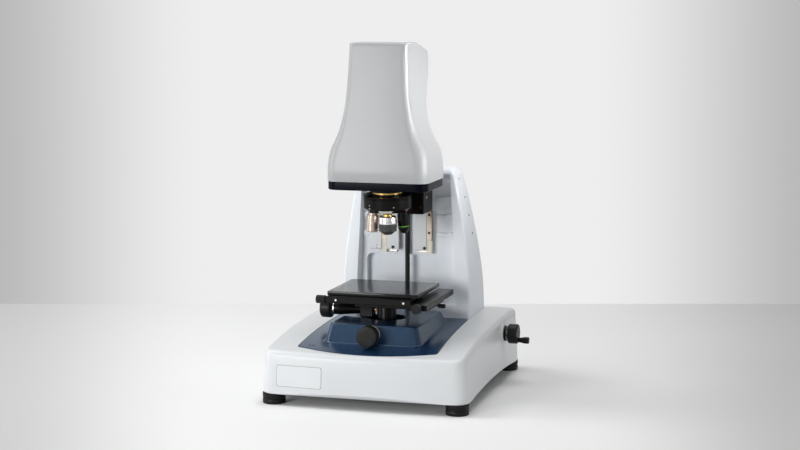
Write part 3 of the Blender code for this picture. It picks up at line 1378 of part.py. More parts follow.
def build_stage(parent):
    """Stage base, middle slide, sample plate, both bars and their knobs."""
    centre = gimbal_centre()
    base_low = POST_TOP + SEAT_GAP
    base_high = base_low + STAGE_BASE_THICKNESS
    base = block((STAGE_BASE_LEFT, STAGE_BASE_FRONT, base_low),
                 (STAGE_BASE_RIGHT, STAGE_BASE_REAR, base_high), 0.001, 1)
    lug = block((LOCK_LUG_X - LOCK_LUG_HALF, LOCK_Y - LOCK_LUG_HALF, LOCK_Z - 0.0045),
                (LOCK_LUG_X + LOCK_LUG_HALF, LOCK_Y + LOCK_LUG_HALF, base_low + 0.002))
    lock_bore = rod(LOCK_ROD_RADIUS + RUNNING_FIT, LOCK_LUG_X, LOCK_LUG_X + LOCK_LUG_HALF + 0.01,
                    "X", (0.0, LOCK_Y, LOCK_Z), 12)
    add_piece("stage_base", cut(join(base, lug), lock_bore), "black_anodised", parent, centre)
    y_bar_low = base_high + SEAT_GAP
    y_bar_right = Y_BAR_LEFT + Y_BAR_WIDTH
    y_bar = block((Y_BAR_LEFT, Y_BAR_FRONT, y_bar_low), (y_bar_right, Y_BAR_REAR, Y_BAR_TOP), 0.0012, 2)
    y_axis = (Y_BAR_LEFT + Y_BAR_WIDTH * 0.5, 0.0, (y_bar_low + Y_BAR_TOP) * 0.5)
    bore = STAGE_KNOB_SHAFT + RUNNING_FIT
    y_bar = cut(y_bar, rod(bore, Y_BAR_FRONT - 0.01, Y_BAR_FRONT + 0.03, "Y", y_axis, 16))
    add_piece("y_bar", y_bar, "black_anodised", parent, centre)
    slide_low = base_high + RUNNING_FIT
    slide_high = slide_low + SLIDE_THICKNESS
    bar_rear = X_BAR_FRONT + X_BAR_DEPTH
    slide = block((SLIDE_LEFT, bar_rear + SEAT_GAP, slide_low), (SLIDE_RIGHT, SLIDE_REAR, slide_high),
                  0.001, 1)
    add_piece("y_slide", slide, "black_anodised", parent, centre)
    plate_low = PLATE_TOP - PLATE_THICKNESS
    x_bar_high = plate_low - RUNNING_FIT
    x_bar = block((X_BAR_LEFT, X_BAR_FRONT, X_BAR_BOTTOM), (X_BAR_RIGHT, bar_rear, x_bar_high), 0.0012, 2)
    x_axis = (0.0, (X_BAR_FRONT + bar_rear) * 0.5, X_SCREW_Z)
    x_bar = cut(x_bar, rod(bore, X_BAR_LEFT - 0.01, X_BAR_LEFT + 0.03, "X", x_axis, 16))
    add_piece("x_bar", x_bar, "black_anodised", parent, centre)
    plate = block((PLATE_LEFT, PLATE_FRONT, plate_low), (PLATE_RIGHT, PLATE_REAR, PLATE_TOP), 0.001, 2)
    runner_low = slide_high + RUNNING_FIT
    runners = [
        block((RUNNER_LEFT, front, runner_low),
              (RUNNER_RIGHT, front + RUNNER_WIDTH, plate_low + 0.002))
        for front in (bar_rear + 0.004, SLIDE_REAR - RUNNER_WIDTH - 0.002)
    ]
    add_piece("sample_plate", join(plate, *runners), "black_anodised", parent, centre)
    build_stage_knobs(parent, x_axis, y_axis)
    rod_end = LOCK_LUG_X + LOCK_LUG_HALF * 0.5 + LOCK_ROD_LENGTH
    lock_centre = (0.0, LOCK_Y, LOCK_Z)
    lock = join(
        rod(LOCK_ROD_RADIUS, LOCK_LUG_X + RUNNING_FIT, rod_end - 0.002, "X", lock_centre, 12),
        soft_disc(LOCK_KNOB_RADIUS, rod_end - LOCK_KNOB_LENGTH, rod_end, 0.001, "X", lock_centre, 14),
    )
    add_piece("stage_lock", lock, "black_steel", parent, (LOCK_LUG_X, LOCK_Y, LOCK_Z))


def stage_knob(radius, length, start, axis, centre, direction):
    """Small knob with a collar and a shaft that runs into its bar."""
    collar_end = start + direction * STAGE_KNOB_STANDOFF
    knob_end = collar_end + direction * length
    shaft = rod(STAGE_KNOB_SHAFT, *sorted((start - direction * 0.024, knob_end - direction * 0.004)),
                axis, centre, 12)
    collar = rod(STAGE_KNOB_SHAFT + 0.0025,
                 *sorted((start + direction * SEAT_GAP, collar_end + direction * 0.002)), axis, centre, 16)
    knob = soft_disc(radius, *sorted((collar_end, knob_end)), 0.0012, axis, centre, 18)
    return join(knob, collar, shaft)


def build_stage_knobs(parent, x_axis, y_axis):
    """Knobs of the two stage screws."""
    x_knob = stage_knob(X_KNOB_RADIUS, X_KNOB_LENGTH, X_BAR_LEFT, "X", x_axis, -1.0)
    add_piece("x_knob", x_knob, "black_plastic", parent, (X_BAR_LEFT, x_axis[1], x_axis[2]))
    y_knob = stage_knob(Y_KNOB_RADIUS, Y_KNOB_LENGTH, Y_BAR_FRONT, "Y", y_axis, -1.0)
    add_piece("y_knob", y_knob, "black_plastic", parent, (y_axis[0], Y_BAR_FRONT, y_axis[2]))


def main():
    """Build the whole instrument, standing on the middle of its own outline."""
    clear_scene()
    right = (BASE_HALF_WIDTH + SEAT_GAP + CRANK_FLANGE_THICKNESS + CRANK_WHEEL_GAP
             + CRANK_WHEEL_LENGTH + RUNNING_FIT + GRIP_LENGTH)
    shift_x = -(right - BASE_HALF_WIDTH) * 0.5
    shift_y = -(BASE_FRONT + BASE_REAR) * 0.5
    assembly = make_empty("assembly", (shift_x, shift_y, 0.0))
    build_base(assembly)
    build_cover(assembly)
    build_column(assembly)
    build_drive(assembly)
    build_crank(assembly)
    build_carriage(assembly)
    build_bracket(assembly)
    build_head(assembly)
    build_turret(assembly)
    build_gimbal(assembly)
    build_post(assembly)
    build_tip_control(assembly)
    build_tilt_control(assembly)
    build_stage(assembly)


main()
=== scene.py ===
"""Looks of a bench-top optical profiler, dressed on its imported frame.

The shapes are set out in metres from the middle of the instrument, with X to the right, Y to the
rear and Z up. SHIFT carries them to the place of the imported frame.
"""

import json
import logging
import math
from dataclasses import dataclass
from enum import Enum
from typing import Callable, Sequence

import bmesh
import bpy
from mathutils import Matrix, Vector

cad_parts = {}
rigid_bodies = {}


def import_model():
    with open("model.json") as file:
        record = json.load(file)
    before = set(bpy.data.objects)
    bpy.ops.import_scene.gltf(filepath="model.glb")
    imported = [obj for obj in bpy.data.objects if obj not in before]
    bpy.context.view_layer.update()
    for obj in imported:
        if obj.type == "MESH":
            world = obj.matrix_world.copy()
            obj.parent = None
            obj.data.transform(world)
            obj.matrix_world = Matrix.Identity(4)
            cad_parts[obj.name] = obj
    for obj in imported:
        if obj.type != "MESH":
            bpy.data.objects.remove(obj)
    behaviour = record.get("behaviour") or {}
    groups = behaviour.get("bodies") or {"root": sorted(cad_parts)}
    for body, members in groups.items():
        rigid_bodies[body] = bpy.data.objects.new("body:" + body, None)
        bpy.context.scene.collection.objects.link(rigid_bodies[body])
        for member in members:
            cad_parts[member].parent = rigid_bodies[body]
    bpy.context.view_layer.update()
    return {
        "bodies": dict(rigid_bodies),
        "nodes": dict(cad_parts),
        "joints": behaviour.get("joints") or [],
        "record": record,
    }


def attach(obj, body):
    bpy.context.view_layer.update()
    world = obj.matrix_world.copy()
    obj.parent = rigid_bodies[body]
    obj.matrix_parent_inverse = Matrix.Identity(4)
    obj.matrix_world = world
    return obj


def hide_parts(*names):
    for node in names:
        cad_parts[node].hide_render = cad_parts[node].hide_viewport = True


LOG = logging.getLogger("optical_profiler")

Colour = tuple[float, float, float]
Place = tuple[float, float, float]
Outline = list[tuple[float, float]]
Height = float | Callable[[float, float], float]

SHIFT = Vector((-0.0263, 0.004, 0.0))
SOFT_ANGLE = 32.0
EDGE_ANGLE = 35.0
FIT_GAP = 0.0003
SHAFT_BORE = 0.0053
SCREW_BORE = 0.0063
CAP_STEP = math.radians(15.0)
ORIGIN = (0.0, 0.0, 0.0)


class Axis(Enum):
    """Axis that a round piece or an extruded outline runs along."""

    X = "X"
    Y = "Y"
    Z = "Z"


class Cap(Enum):
    """How the ends of a lofted shape are closed."""

    FLAT = "flat"
    LADDER = "ladder"
    LOOP = "loop"
    NONE = "none"


class Cutting(Enum):
    """What a tool does to the shape it meets."""

    CUT = "DIFFERENCE"
    JOIN = "UNION"


class Screw(Enum):
    """Radius and height of each kind of screw head."""

    COVER = (0.0017, 0.0007)
    COLUMN_SIDE = (0.0017, 0.0008)
    REAR_COVER = (0.0028, 0.0014)
    CRANK_SET = (0.0013, 0.0004)
    CARRIAGE = (0.0033, 0.0022)
    BRACKET_SIDE = (0.0030, 0.0014)
    BRACKET_FRONT = (0.0026, 0.0010)
    GIB = (0.0028, 0.0016)
    SWITCH = (0.0011, 0.0004)
    TURRET = (0.0014, 0.0005)
    X_BAR = (0.0024, 0.0016)


# Shapes

def close_ladder(shape: bmesh.types.BMesh, ring: list, has_middle: bool) -> None:
    """Close a left-right symmetric ring with rungs, so that the cap follows a curve along Y.

    Args:
        shape: Mesh that holds the ring.
        ring: Its vertices, from the middle of the front round to the right.
        has_middle: Whether the first vertex lies on the middle line.
    """
    low = 1 if has_middle else 0
    high = len(ring) - 1
    if has_middle:
        shape.faces.new((ring[0], ring[low], ring[high]))
    while high - low > 1:
        shape.faces.new((ring[low], ring[low + 1], ring[high - 1], ring[high]))
        low += 1
        high -= 1


def bridge(shape: bmesh.types.BMesh, lower: list, upper: list) -> None:
    """Join two rings of vertices, either of which may be a single pole.

    Args:
        shape: Mesh that holds both rings.
        lower: First ring.
        upper: Second ring.
    """
    count = max(len(lower), len(upper))
    if count == 1:
        return
    for index in range(count):
        following = (index + 1) % count
        if len(lower) == 1:
            corners = (lower[0], upper[following], upper[index])
        elif len(upper) == 1:
            corners = (lower[index], lower[following], upper[0])
        else:
            corners = (lower[index], lower[following], upper[following], upper[index])
        shape.faces.new(corners)


def face_outward(shape: bmesh.types.BMesh) -> None:
    """Turn every face of a closed shape outwards."""
    bmesh.ops.recalc_face_normals(shape, faces=shape.faces)
    if shape.calc_volume(signed=True) < 0.0:
        bmesh.ops.reverse_faces(shape, faces=shape.faces)


def loft(rings: Sequence[Sequence[Place]], cap: Cap = Cap.FLAT, has_middle: bool = True) -> bmesh.types.BMesh:
    """A solid through equal rings of points.

    Args:
        rings: Rings from one end to the other.
        cap: How the ends are closed.
        has_middle: Whether each ring starts on the middle line, for a ladder cap.

    Returns:
        The shape.
    """
    shape = bmesh.new()
    levels = [[shape.verts.new(point) for point in ring] for ring in rings]
    for lower, upper in zip(levels, levels[1:]):
        bridge(shape, lower, upper)
    if cap is Cap.LOOP:
        bridge(shape, levels[-1], levels[0])
    elif cap is Cap.LADDER:
        close_ladder(shape, levels[0], has_middle)
        close_ladder(shape, levels[-1], has_middle)
    elif cap is Cap.FLAT:
        shape.faces.new(levels[0])
        shape.faces.new(levels[-1])
    face_outward(shape)
    return shape


def spin(shape: bmesh.types.BMesh, angle: float, axis: Axis) -> None:
    """Turn a shape around an axis through the origin."""
    bmesh.ops.rotate(shape, verts=shape.verts, cent=ORIGIN, matrix=Matrix.Rotation(angle, 3, axis.value))


def lay_along(shape: bmesh.types.BMesh, axis: Axis) -> None:
    """Lay a shape made along Z along another axis."""
    if axis is Axis.X:
        spin(shape, math.radians(90.0), Axis.Y)
    elif axis is Axis.Y:
        spin(shape, math.radians(-90.0), Axis.X)


def turned(profile: Sequence[tuple[float, float]], steps: int = 48, axis: Axis = Axis.Z,
           centre: Place = ORIGIN) -> bmesh.types.BMesh:
    """Revolve a profile; one that stays off the axis closes into a ring.

    Args:
        profile: Points of radius and height.
        steps: Facets round the axis.
        axis: Axis of the finished piece.
        centre: Where the profile's origin goes.

    Returns:
        The shape.
    """
    shape = bmesh.new()
    levels = []
    for radius, height in profile:
        if radius == 0.0:
            levels.append([shape.verts.new((0.0, 0.0, height))])
            continue
        angles = [2.0 * math.pi * step / steps for step in range(steps)]
        levels.append([
            shape.verts.new((radius * math.cos(angle), radius * math.sin(angle), height))
            for angle in angles
        ])
    for lower, upper in zip(levels, levels[1:]):
        bridge(shape, lower, upper)
    if len(levels[0]) > 1:
        bridge(shape, levels[-1], levels[0])
    lay_along(shape, axis)
    bmesh.ops.translate(shape, verts=shape.verts, vec=centre)
    face_outward(shape)
    return shape


def rod(radius: float, low: float, high: float, axis: Axis = Axis.Z, centre: Place = ORIGIN,
        steps: int = 32) -> bmesh.types.BMesh:
    """A round tool for cutting, from low to high along an axis."""
    return turned(((0.0, low), (radius, low), (radius, high), (0.0, high)), steps, axis, centre)


def ribbed(profile: Sequence[tuple[float, float]], ribs: int, depth: float, span: tuple[float, float],
           axis: Axis = Axis.Z, centre: Place = ORIGIN) -> bmesh.types.BMesh:
    """A turned shape whose rim carries grip ribs between two heights.

    Args:
        profile: Points of radius and height, closed on the axis.
        ribs: Number of ribs.
        depth: Depth of the grooves between them.
        span: Heights between which the rim is ribbed.
        axis: Axis of the finished piece.
        centre: Where the profile's origin goes.

    Returns:
        The shape.
    """
    steps = ribs * 4
    shape = turned(profile, steps)
    reach = max(radius for radius, _ in profile)
    for vert in shape.verts:
        radius = math.hypot(vert.co.x, vert.co.y)
        if radius < reach * 0.9 or not span[0] <= vert.co.z <= span[1]:
            continue
        step = round(math.atan2(vert.co.y, vert.co.x) / (2.0 * math.pi) * steps) % 4
        if step in (2, 3):
            vert.co.x *= (radius - depth) / radius
            vert.co.y *= (radius - depth) / radius
    lay_along(shape, axis)
    bmesh.ops.translate(shape, verts=shape.verts, vec=centre)
    face_outward(shape)
    return shape


def disc_profile(radius: float, low: float, high: float, edge: float,
                 rounds: int = 4) -> list[tuple[float, float]]:
    """Profile of a disc with round edges.

    Args:
        radius: Outer radius.
        low: Height of one face.
        high: Height of the other face.
        edge: Radius of the edges.
        rounds: Steps in each rounded edge.

    Returns:
        Points of radius and height.
    """
    points = [(0.0, low), (radius * 0.5, low)]
    for step in range(rounds + 1):
        angle = math.radians(90.0 * step / rounds)
        points.append((radius - edge + edge * math.sin(angle), low + edge - edge * math.cos(angle)))
    for step in range(rounds + 1):
        angle = math.radians(90.0 * step / rounds)
        points.append((radius - edge + edge * math.cos(angle), high - edge + edge * math.sin(angle)))
    return points + [(radius * 0.5, high), (0.0, high)]


def block(low: Place, high: Place, edge: float = 0.0, segments: int = 3) -> bmesh.types.BMesh:
    """A box between two corners, with rounded edges where an edge size is given."""
    shape = bmesh.new()
    bmesh.ops.create_cube(shape, size=1.0)
    size = Vector(high) - Vector(low)
    bmesh.ops.scale(shape, verts=shape.verts, vec=size)
    bmesh.ops.translate(shape, verts=shape.verts, vec=Vector(low) + size * 0.5)
    if edge > 0.0:
        bmesh.ops.bevel(shape, geom=shape.edges[:], offset=edge, segments=segments, profile=0.5,
                        affect="EDGES")
    return shape


def round_rectangle(left: float, right: float, low: float, high: float, radius: float,
                    steps: int = 8) -> Outline:
    """Outline of a rectangle with round corners, anticlockwise."""
    corners = (
        (right - radius, low + radius, -90.0), (right - radius, high - radius, 0.0),
        (left + radius, high - radius, 90.0), (left + radius, low + radius, 180.0),
    )
    outline = []
    for centre_x, centre_y, start in corners:
        for step in range(steps + 1):
            angle = math.radians(start + 90.0 * step / steps)
            outline.append((centre_x + radius * math.cos(angle), centre_y + radius * math.sin(angle)))
    return outline


def prism(outline: Outline, low: float, high: float, axis: Axis = Axis.Z) -> bmesh.types.BMesh:
    """Extrude an outline: (x, y) along Z, (x, z) along Y or (y, z) along X."""
    places = {
        Axis.Z: lambda first, second, level: (first, second, level),
        Axis.Y: lambda first, second, level: (first, level, second),
        Axis.X: lambda first, second, level: (level, first, second),
    }
    place = places[axis]
    return loft([[place(*point, level) for point in outline] for level in (low, high)])


def to_mesh(name: str, shape: bmesh.types.BMesh) -> bpy.types.Mesh:
    """Turn a shape into a mesh and let the shape go."""
    mesh = bpy.data.meshes.new(name)
    shape.to_mesh(mesh)
    shape.free()
    return mesh


def in_scene(name: str, data: bpy.types.ID) -> bpy.types.Object:
    """Put a mesh, light or camera in the scene."""
    item = bpy.data.objects.new(name, data)
    bpy.context.scene.collection.objects.link(item)
    return item


def merged(*shapes: bmesh.types.BMesh) -> bmesh.types.BMesh:
    """Put several separate closed shapes in one mesh."""
    whole = bmesh.new()
    for shape in shapes:
        mesh = to_mesh("part", shape)
        whole.from_mesh(mesh)
        bpy.data.meshes.remove(mesh)
    return whole


def worked(shape: bmesh.types.BMesh, how: Cutting, *tools: bmesh.types.BMesh) -> bmesh.types.BMesh:
    """Cut tools away from a shape, or join them to it.

    Args:
        shape: Shape to work on.
        how: Whether the tools cut or join.
        tools: Shapes of the tools.

    Returns:
        The worked shape.
    """
    holders = [in_scene("work", to_mesh("work", piece)) for piece in (shape, *tools)]
    body = holders[0]
    for tool in holders[1:]:
        modifier = body.modifiers.new("work", "BOOLEAN")
        modifier.operation = how.value
        modifier.solver = "EXACT"
        modifier.object = tool
    graph = bpy.context.evaluated_depsgraph_get()
    mesh = bpy.data.meshes.new_from_object(body.evaluated_get(graph))
    result = bmesh.new()
    result.from_mesh(mesh)
    bpy.data.meshes.remove(mesh)
    for holder in holders:
        bpy.data.objects.remove(holder, do_unlink=True)
    return result


def half_plan(half_width: float, front: float, rear: float, corner: float, rear_corner: float | None = None,
              bow: float = 0.0, rear_half_width: float | None = None, side_steps: int = 24,
              corner_steps: int = 10, front_steps: int = 12) -> Outline:
    """Right half of a plan outline, from the middle of the front to the rear corner.

    Args:
        half_width: Half-width at the front corner.
        front: Y of the front's middle.
        rear: Y of the rear.
        corner: Radius of the front corner.
        rear_corner: Radius of the rear corner, if it differs.
        bow: How far the front's ends lie behind its middle.
        rear_half_width: Half-width at the rear, if it differs.
        side_steps: Steps along the side.
        corner_steps: Steps round each corner.
        front_steps: Steps along half the front.

    Returns:
        Points of the outline.
    """
    rear_corner = corner if rear_corner is None else rear_corner
    rear_half_width = half_width if rear_half_width is None else rear_half_width
    corner_x = half_width - corner
    points = []
    for step in range(front_steps):
        x = corner_x * step / front_steps
        points.append((x, front + bow * (x / corner_x) ** 2))
    centre_y = front + bow + corner
    for step in range(corner_steps + 1):
        angle = math.radians(-90.0 + 90.0 * step / corner_steps)
        points.append((corner_x + corner * math.cos(angle), centre_y + corner * math.sin(angle)))
    rear_centre_y = rear - rear_corner
    for step in range(1, side_steps):
        share = step / side_steps
        points.append((
            half_width + (rear_half_width - half_width) * share,
            centre_y + (rear_centre_y - centre_y) * share,
        ))
    for step in range(corner_steps + 1):
        angle = math.radians(90.0 * step / corner_steps)
        points.append((
            rear_half_width - rear_corner + rear_corner * math.cos(angle),
            rear_centre_y + rear_corner * math.sin(angle),
        ))
    return points


def whole_plan(right: Outline) -> Outline:
    """Both halves of an outline whose first point may lie on the middle line."""
    return right + [(-x, y) for x, y in reversed(right) if x > 0.0]


def at_height(outline: Outline, height: Height) -> list[Place]:
    """Give an outline its height, either one value or a function of x and y."""
    if callable(height):
        return [(x, y, height(x, y)) for x, y in outline]
    return [(x, y, height) for x, y in outline]


def between(first: Outline, second: Outline, share: float) -> Outline:
    """Outline part of the way from one outline to another."""
    return [(a[0] + (b[0] - a[0]) * share, a[1] + (b[1] - a[1]) * share) for a, b in zip(first, second)]


def spaced(low: float, high: float, steps: int) -> list[float]:
    """Evenly spaced values from low to high."""
    return [low + (high - low) * step / steps for step in range(steps + 1)]


def climb(value: float, low: float, high: float) -> float:
    """Share of the way from a low value to a high one, from 0 to 1."""
    return min(max((value - low) / (high - low), 0.0), 1.0)


def ease(share: float) -> float:
    """Ease from 0 to 1."""
    return share * share * (3.0 - 2.0 * share)


# Finishes

def add_node(tree: bpy.types.NodeTree, kind: str, **settings: object) -> bpy.types.Node:
    """Add a node and set its properties and sockets by name.

    Args:
        tree: Node tree that gets the node.
        kind: Blender's name of the node type.
        settings: Properties in lower case, or sockets with spaces as underscores.

    Returns:
        The node.
    """
    node = tree.nodes.new(kind)
    for key, value in settings.items():
        if hasattr(node, key):
            setattr(node, key, value)
        else:
            node.inputs[key.replace("_", " ")].default_value = value
    return node


class NodeSheet:
    """Node tree of one material, with its Principled shader at hand."""

    def __init__(self, name: str) -> None:
        """Start an empty material with a Principled shader."""
        self.material = bpy.data.materials.new(name)
        self.material.use_nodes = True
        self.tree = self.material.node_tree
        self.shader = self.tree.nodes["Principled BSDF"]
        self.place = self.add("ShaderNodeTexCoord").outputs["Object"]

    def add(self, kind: str, **settings: object) -> bpy.types.Node:
        """Add a node and set its properties and sockets by name."""
        return add_node(self.tree, kind, **settings)

    def link(self, source: bpy.types.NodeSocket, target: bpy.types.NodeSocket) -> None:
        """Join an output to an input."""
        self.tree.links.new(source, target)

    def noise(self, scale: float, detail: float = 2.0, stretch: Place | None = None) -> bpy.types.NodeSocket:
        """Noise in the object's own space.

        Args:
            scale: Features to a metre.
            detail: Octaves.
            stretch: Scale along each axis, if the noise is drawn out.

        Returns:
            The noise value.
        """
        node = self.add("ShaderNodeTexNoise", Scale=scale, Detail=detail)
        source = self.place
        if stretch is not None:
            mapping = self.add("ShaderNodeMapping", Scale=stretch)
            self.link(self.place, mapping.inputs["Vector"])
            source = mapping.outputs["Vector"]
        self.link(source, node.inputs["Vector"])
        return node.outputs["Fac"]

    def between_values(self, source: bpy.types.NodeSocket, low: float, high: float,
                       target: bpy.types.NodeSocket) -> None:
        """Send a value from 0 to 1 to a socket as one from low to high."""
        node = self.add("ShaderNodeMapRange", To_Min=low, To_Max=high, From_Min=0.3, From_Max=0.7)
        self.link(source, node.inputs["Value"])
        self.link(node.outputs["Result"], target)

    def between_colours(self, source: bpy.types.NodeSocket, low: Colour, high: Colour,
                        edges: tuple[float, float] = (0.3, 0.7)) -> bpy.types.NodeSocket:
        """A colour that goes from low to high with a value.

        Args:
            source: Value from 0 to 1.
            low: Colour at the low edge.
            high: Colour at the high edge.
            edges: Values at which the two colours are reached.

        Returns:
            The colour.
        """
        ramp = self.add("ShaderNodeValToRGB")
        ramp.color_ramp.elements[0].position = edges[0]
        ramp.color_ramp.elements[1].position = edges[1]
        ramp.color_ramp.elements[0].color = (*low, 1.0)
        ramp.color_ramp.elements[1].color = (*high, 1.0)
        self.link(source, ramp.inputs["Fac"])
        return ramp.outputs["Color"]

    def tint(self, source: bpy.types.NodeSocket, colour: Colour, low: float, high: float) -> None:
        """Let the base colour go from a darker to a lighter tone with a value."""
        self.link(self.between_colours(source, tone(colour, low), tone(colour, high)),
                  self.shader.inputs["Base Color"])

    def gloss(self, source: bpy.types.NodeSocket, low: float, high: float) -> None:
        """Let the roughness go from low to high with a value."""
        self.between_values(source, low, high, self.shader.inputs["Roughness"])

    def preset(self, **values: float | tuple) -> None:
        """Set the shader's own sockets, named with underscores for spaces."""
        for name, value in values.items():
            self.shader.inputs[name.replace("_", " ")].default_value = value

    def bump(self, source: bpy.types.NodeSocket, strength: float, distance: float) -> None:
        """Raise the surface a little by a value."""
        node = self.add("ShaderNodeBump", Strength=strength, Distance=distance)
        self.link(source, node.inputs["Height"])
        self.link(node.outputs["Normal"], self.shader.inputs["Normal"])


def tone(colour: Colour, factor: float) -> Colour:
    """A colour made lighter or darker."""
    return tuple(min(part * factor, 1.0) for part in colour)


@dataclass(frozen=True)
class Finish:
    """Colour and gloss that every finish has; kinds of finish add their own grain.

    Attributes:
        name: Name of the material.
        slot: Material slot of the record that it belongs to; not used.
        colour: Base colour.
        roughness: Mean roughness.
        metallic: Share of bare metal.
        shine: Strength of the reflection seen straight on.
    """

    name: str
    slot: str
    colour: Colour
    roughness: float
    metallic: float = 0.0
    shine: float = 0.5

    def material(self) -> bpy.types.Material:
        """The material, made once."""
        known = bpy.data.materials.get(self.name)
        if known is not None and known.get("finish_ready"):
            return known
        sheet = NodeSheet(self.name)
        sheet.material["finish_ready"] = True
        sheet.preset(Metallic=self.metallic, Specular_IOR_Level=self.shine)
        self.grain(sheet)
        return sheet.material

    def grain(self, sheet: NodeSheet) -> None:
        """Colour, gloss and relief of the finish."""
        mottle = sheet.noise(60.0)
        sheet.tint(mottle, self.colour, 0.94, 1.05)
        sheet.gloss(mottle, self.roughness - 0.03, self.roughness + 0.03)


@dataclass(frozen=True)
class Paint(Finish):
    """Sprayed paint with a fine orange peel.

    Attributes:
        peel: Strength of the orange peel.
        coat: Weight of the clear gloss on top.
    """

    peel: float = 0.05
    coat: float = 0.0

    def grain(self, sheet: NodeSheet) -> None:
        """Slow change of tone, fine peel and a trace of uneven gloss."""
        cloud = sheet.noise(7.0, 3.0)
        sheet.tint(cloud, self.colour, 0.975, 1.015)
        sheet.gloss(sheet.noise(25.0), self.roughness - 0.012, self.roughness + 0.012)
        sheet.preset(Coat_Weight=self.coat, Coat_Roughness=0.18)
        sheet.bump(sheet.noise(900.0, 1.0), self.peel, 0.0003)


@dataclass(frozen=True)
class Hammertone(Finish):
    """Hammered enamel: small dimples with lighter rims and bright flecks.

    Attributes:
        fleck: Colour of the flecks.
        gleam: Tint of the reflections.
    """

    fleck: Colour = (0.07, 0.14, 0.24)
    gleam: Colour = (0.62, 0.82, 1.0)

    def grain(self, sheet: NodeSheet) -> None:
        """Dimples, flecks and their relief."""
        cells = sheet.add("ShaderNodeTexVoronoi", Scale=620.0, feature="SMOOTH_F1")
        sheet.link(sheet.place, cells.inputs["Vector"])
        flecks = sheet.noise(1500.0, 3.0)
        base = sheet.between_colours(cells.outputs["Distance"], tone(self.colour, 0.85),
                                     tone(self.colour, 1.35), (0.15, 0.75))
        mix = sheet.add("ShaderNodeMix", data_type="RGBA")
        mask = sheet.add("ShaderNodeMapRange", From_Min=0.60, From_Max=0.72, To_Min=0.0, To_Max=0.75)
        sheet.link(flecks, mask.inputs["Value"])
        sheet.link(mask.outputs["Result"], mix.inputs["Factor"])
        sheet.link(base, mix.inputs["A"])
        mix.inputs["B"].default_value = (*self.fleck, 1.0)
        sheet.link(mix.outputs["Result"], sheet.shader.inputs["Base Color"])
        sheet.gloss(flecks, self.roughness - 0.08, self.roughness + 0.1)
        gleam = (*self.gleam, 1.0)
        sheet.preset(Coat_Weight=0.5, Coat_Roughness=0.16, Coat_Tint=gleam, Specular_Tint=gleam)
        sheet.bump(cells.outputs["Distance"], 0.45, 0.0005)


@dataclass(frozen=True)
class Anodised(Finish):
    """Dyed anodised or blackened metal with a fine tooth."""

    def grain(self, sheet: NodeSheet) -> None:
        """Fine speckle, machining lines and a little relief."""
        lines = sheet.noise(160.0, 2.0, (1.0, 14.0, 14.0))
        speckle = sheet.noise(1300.0, 2.0)
        sheet.tint(speckle, self.colour, 0.8, 1.3)
        sheet.gloss(lines, self.roughness - 0.06, self.roughness + 0.06)
        sheet.bump(speckle, 0.08, 0.0002)


@dataclass(frozen=True)
class Moulded(Finish):
    """Moulded plastic or rubber with a matt grain.

    Attributes:
        tooth: Strength of the grain.
    """

    tooth: float = 0.15

    def grain(self, sheet: NodeSheet) -> None:
        """Spark-eroded grain with slightly rubbed high spots."""
        cells = sheet.add("ShaderNodeTexVoronoi", Scale=1400.0)
        sheet.link(sheet.place, cells.inputs["Vector"])
        rub = sheet.noise(50.0, 3.0)
        sheet.tint(rub, self.colour, 0.85, 1.25)
        sheet.gloss(rub, self.roughness + 0.05, self.roughness - 0.05)
        sheet.bump(cells.outputs["Distance"], self.tooth, 0.0002)


@dataclass(frozen=True)
class Machined(Finish):
    """Turned or ground metal with fine lines across one axis.

    Attributes:
        lines: Stretch of the noise along each axis, largest across the lines.
    """

    lines: Place = (1.0, 1.0, 30.0)

    def grain(self, sheet: NodeSheet) -> None:
        """Tool lines in tone, gloss and relief."""
        ground = sheet.noise(90.0, 3.0, self.lines)
        sheet.tint(ground, self.colour, 0.82, 1.1)
        sheet.gloss(ground, self.roughness + 0.07, self.roughness - 0.05)
        sheet.bump(ground, 0.12, 0.0001)


WHITE_PAINT = Paint("white paint", "white_paint", (0.69, 0.71, 0.725), 0.40, coat=0.15)
# The head's cover has the same white paint as the base. Here it is darkened as painted shade, so its front
# reads darker than the base and column.
SHADED_HEAD_PAINT = Paint("shaded head paint", "white_paint", (0.41, 0.42, 0.43), 0.42, shine=0.4, coat=0.2)
# The column's paint has a real bluish tint. It is also made lighter than the base's white as painted light
# for the shaded bay between the wings.
LIT_COLUMN_PAINT = Paint("lit column paint", "white_paint", (0.86, 0.90, 0.945), 0.42, coat=0.1)
BLUE_COVER = Hammertone("blue hammertone", "blue_hammertone", (0.003, 0.020, 0.052), 0.30)
NAVY_PAINT = Paint("navy paint", "navy_paint", (0.0006, 0.0010, 0.0050), 0.22, shine=0.08)
BLACK_ANODISED = Anodised("black anodised", "black_anodised", (0.0035, 0.0035, 0.0032), 0.27, shine=0.12)
STAGE_BLACK = Anodised("stage black", "black_anodised", (0.005, 0.005, 0.0047), 0.28, shine=0.12)
PLATE_BLACK = Anodised("plate black", "black_anodised", (0.008, 0.009, 0.010), 0.15, shine=0.25)
LENS_BLACK = Anodised("lens black", "black_anodised", (0.045, 0.047, 0.047), 0.24, shine=0.4)
BLACK_PLASTIC = Moulded("black plastic", "black_plastic", (0.008, 0.008, 0.008), 0.40, shine=0.2)
BLACK_STEEL = Machined("black steel", "black_steel", (0.006, 0.006, 0.007), 0.32, shine=0.25)
RUBBER = Moulded("rubber", "rubber", (0.004, 0.004, 0.004), 0.45, shine=0.2, tooth=0.3)
STEEL = Machined("ground steel", "steel", (0.55, 0.53, 0.50), 0.32, 1.0)
SCREW_STEEL = Machined("screw steel", "steel", (0.62, 0.60, 0.56), 0.28, 1.0)
NICKEL = Machined("nickel", "nickel", (0.78, 0.76, 0.70), 0.2, 1.0, lines=(30.0, 1.0, 1.0))
CHROME = Machined("satin chrome", "chrome", (0.86, 0.86, 0.85), 0.22, 1.0)
COPPER = Machined("copper", "copper", (0.70, 0.33, 0.12), 0.28, 1.0, lines=(30.0, 1.0, 1.0))
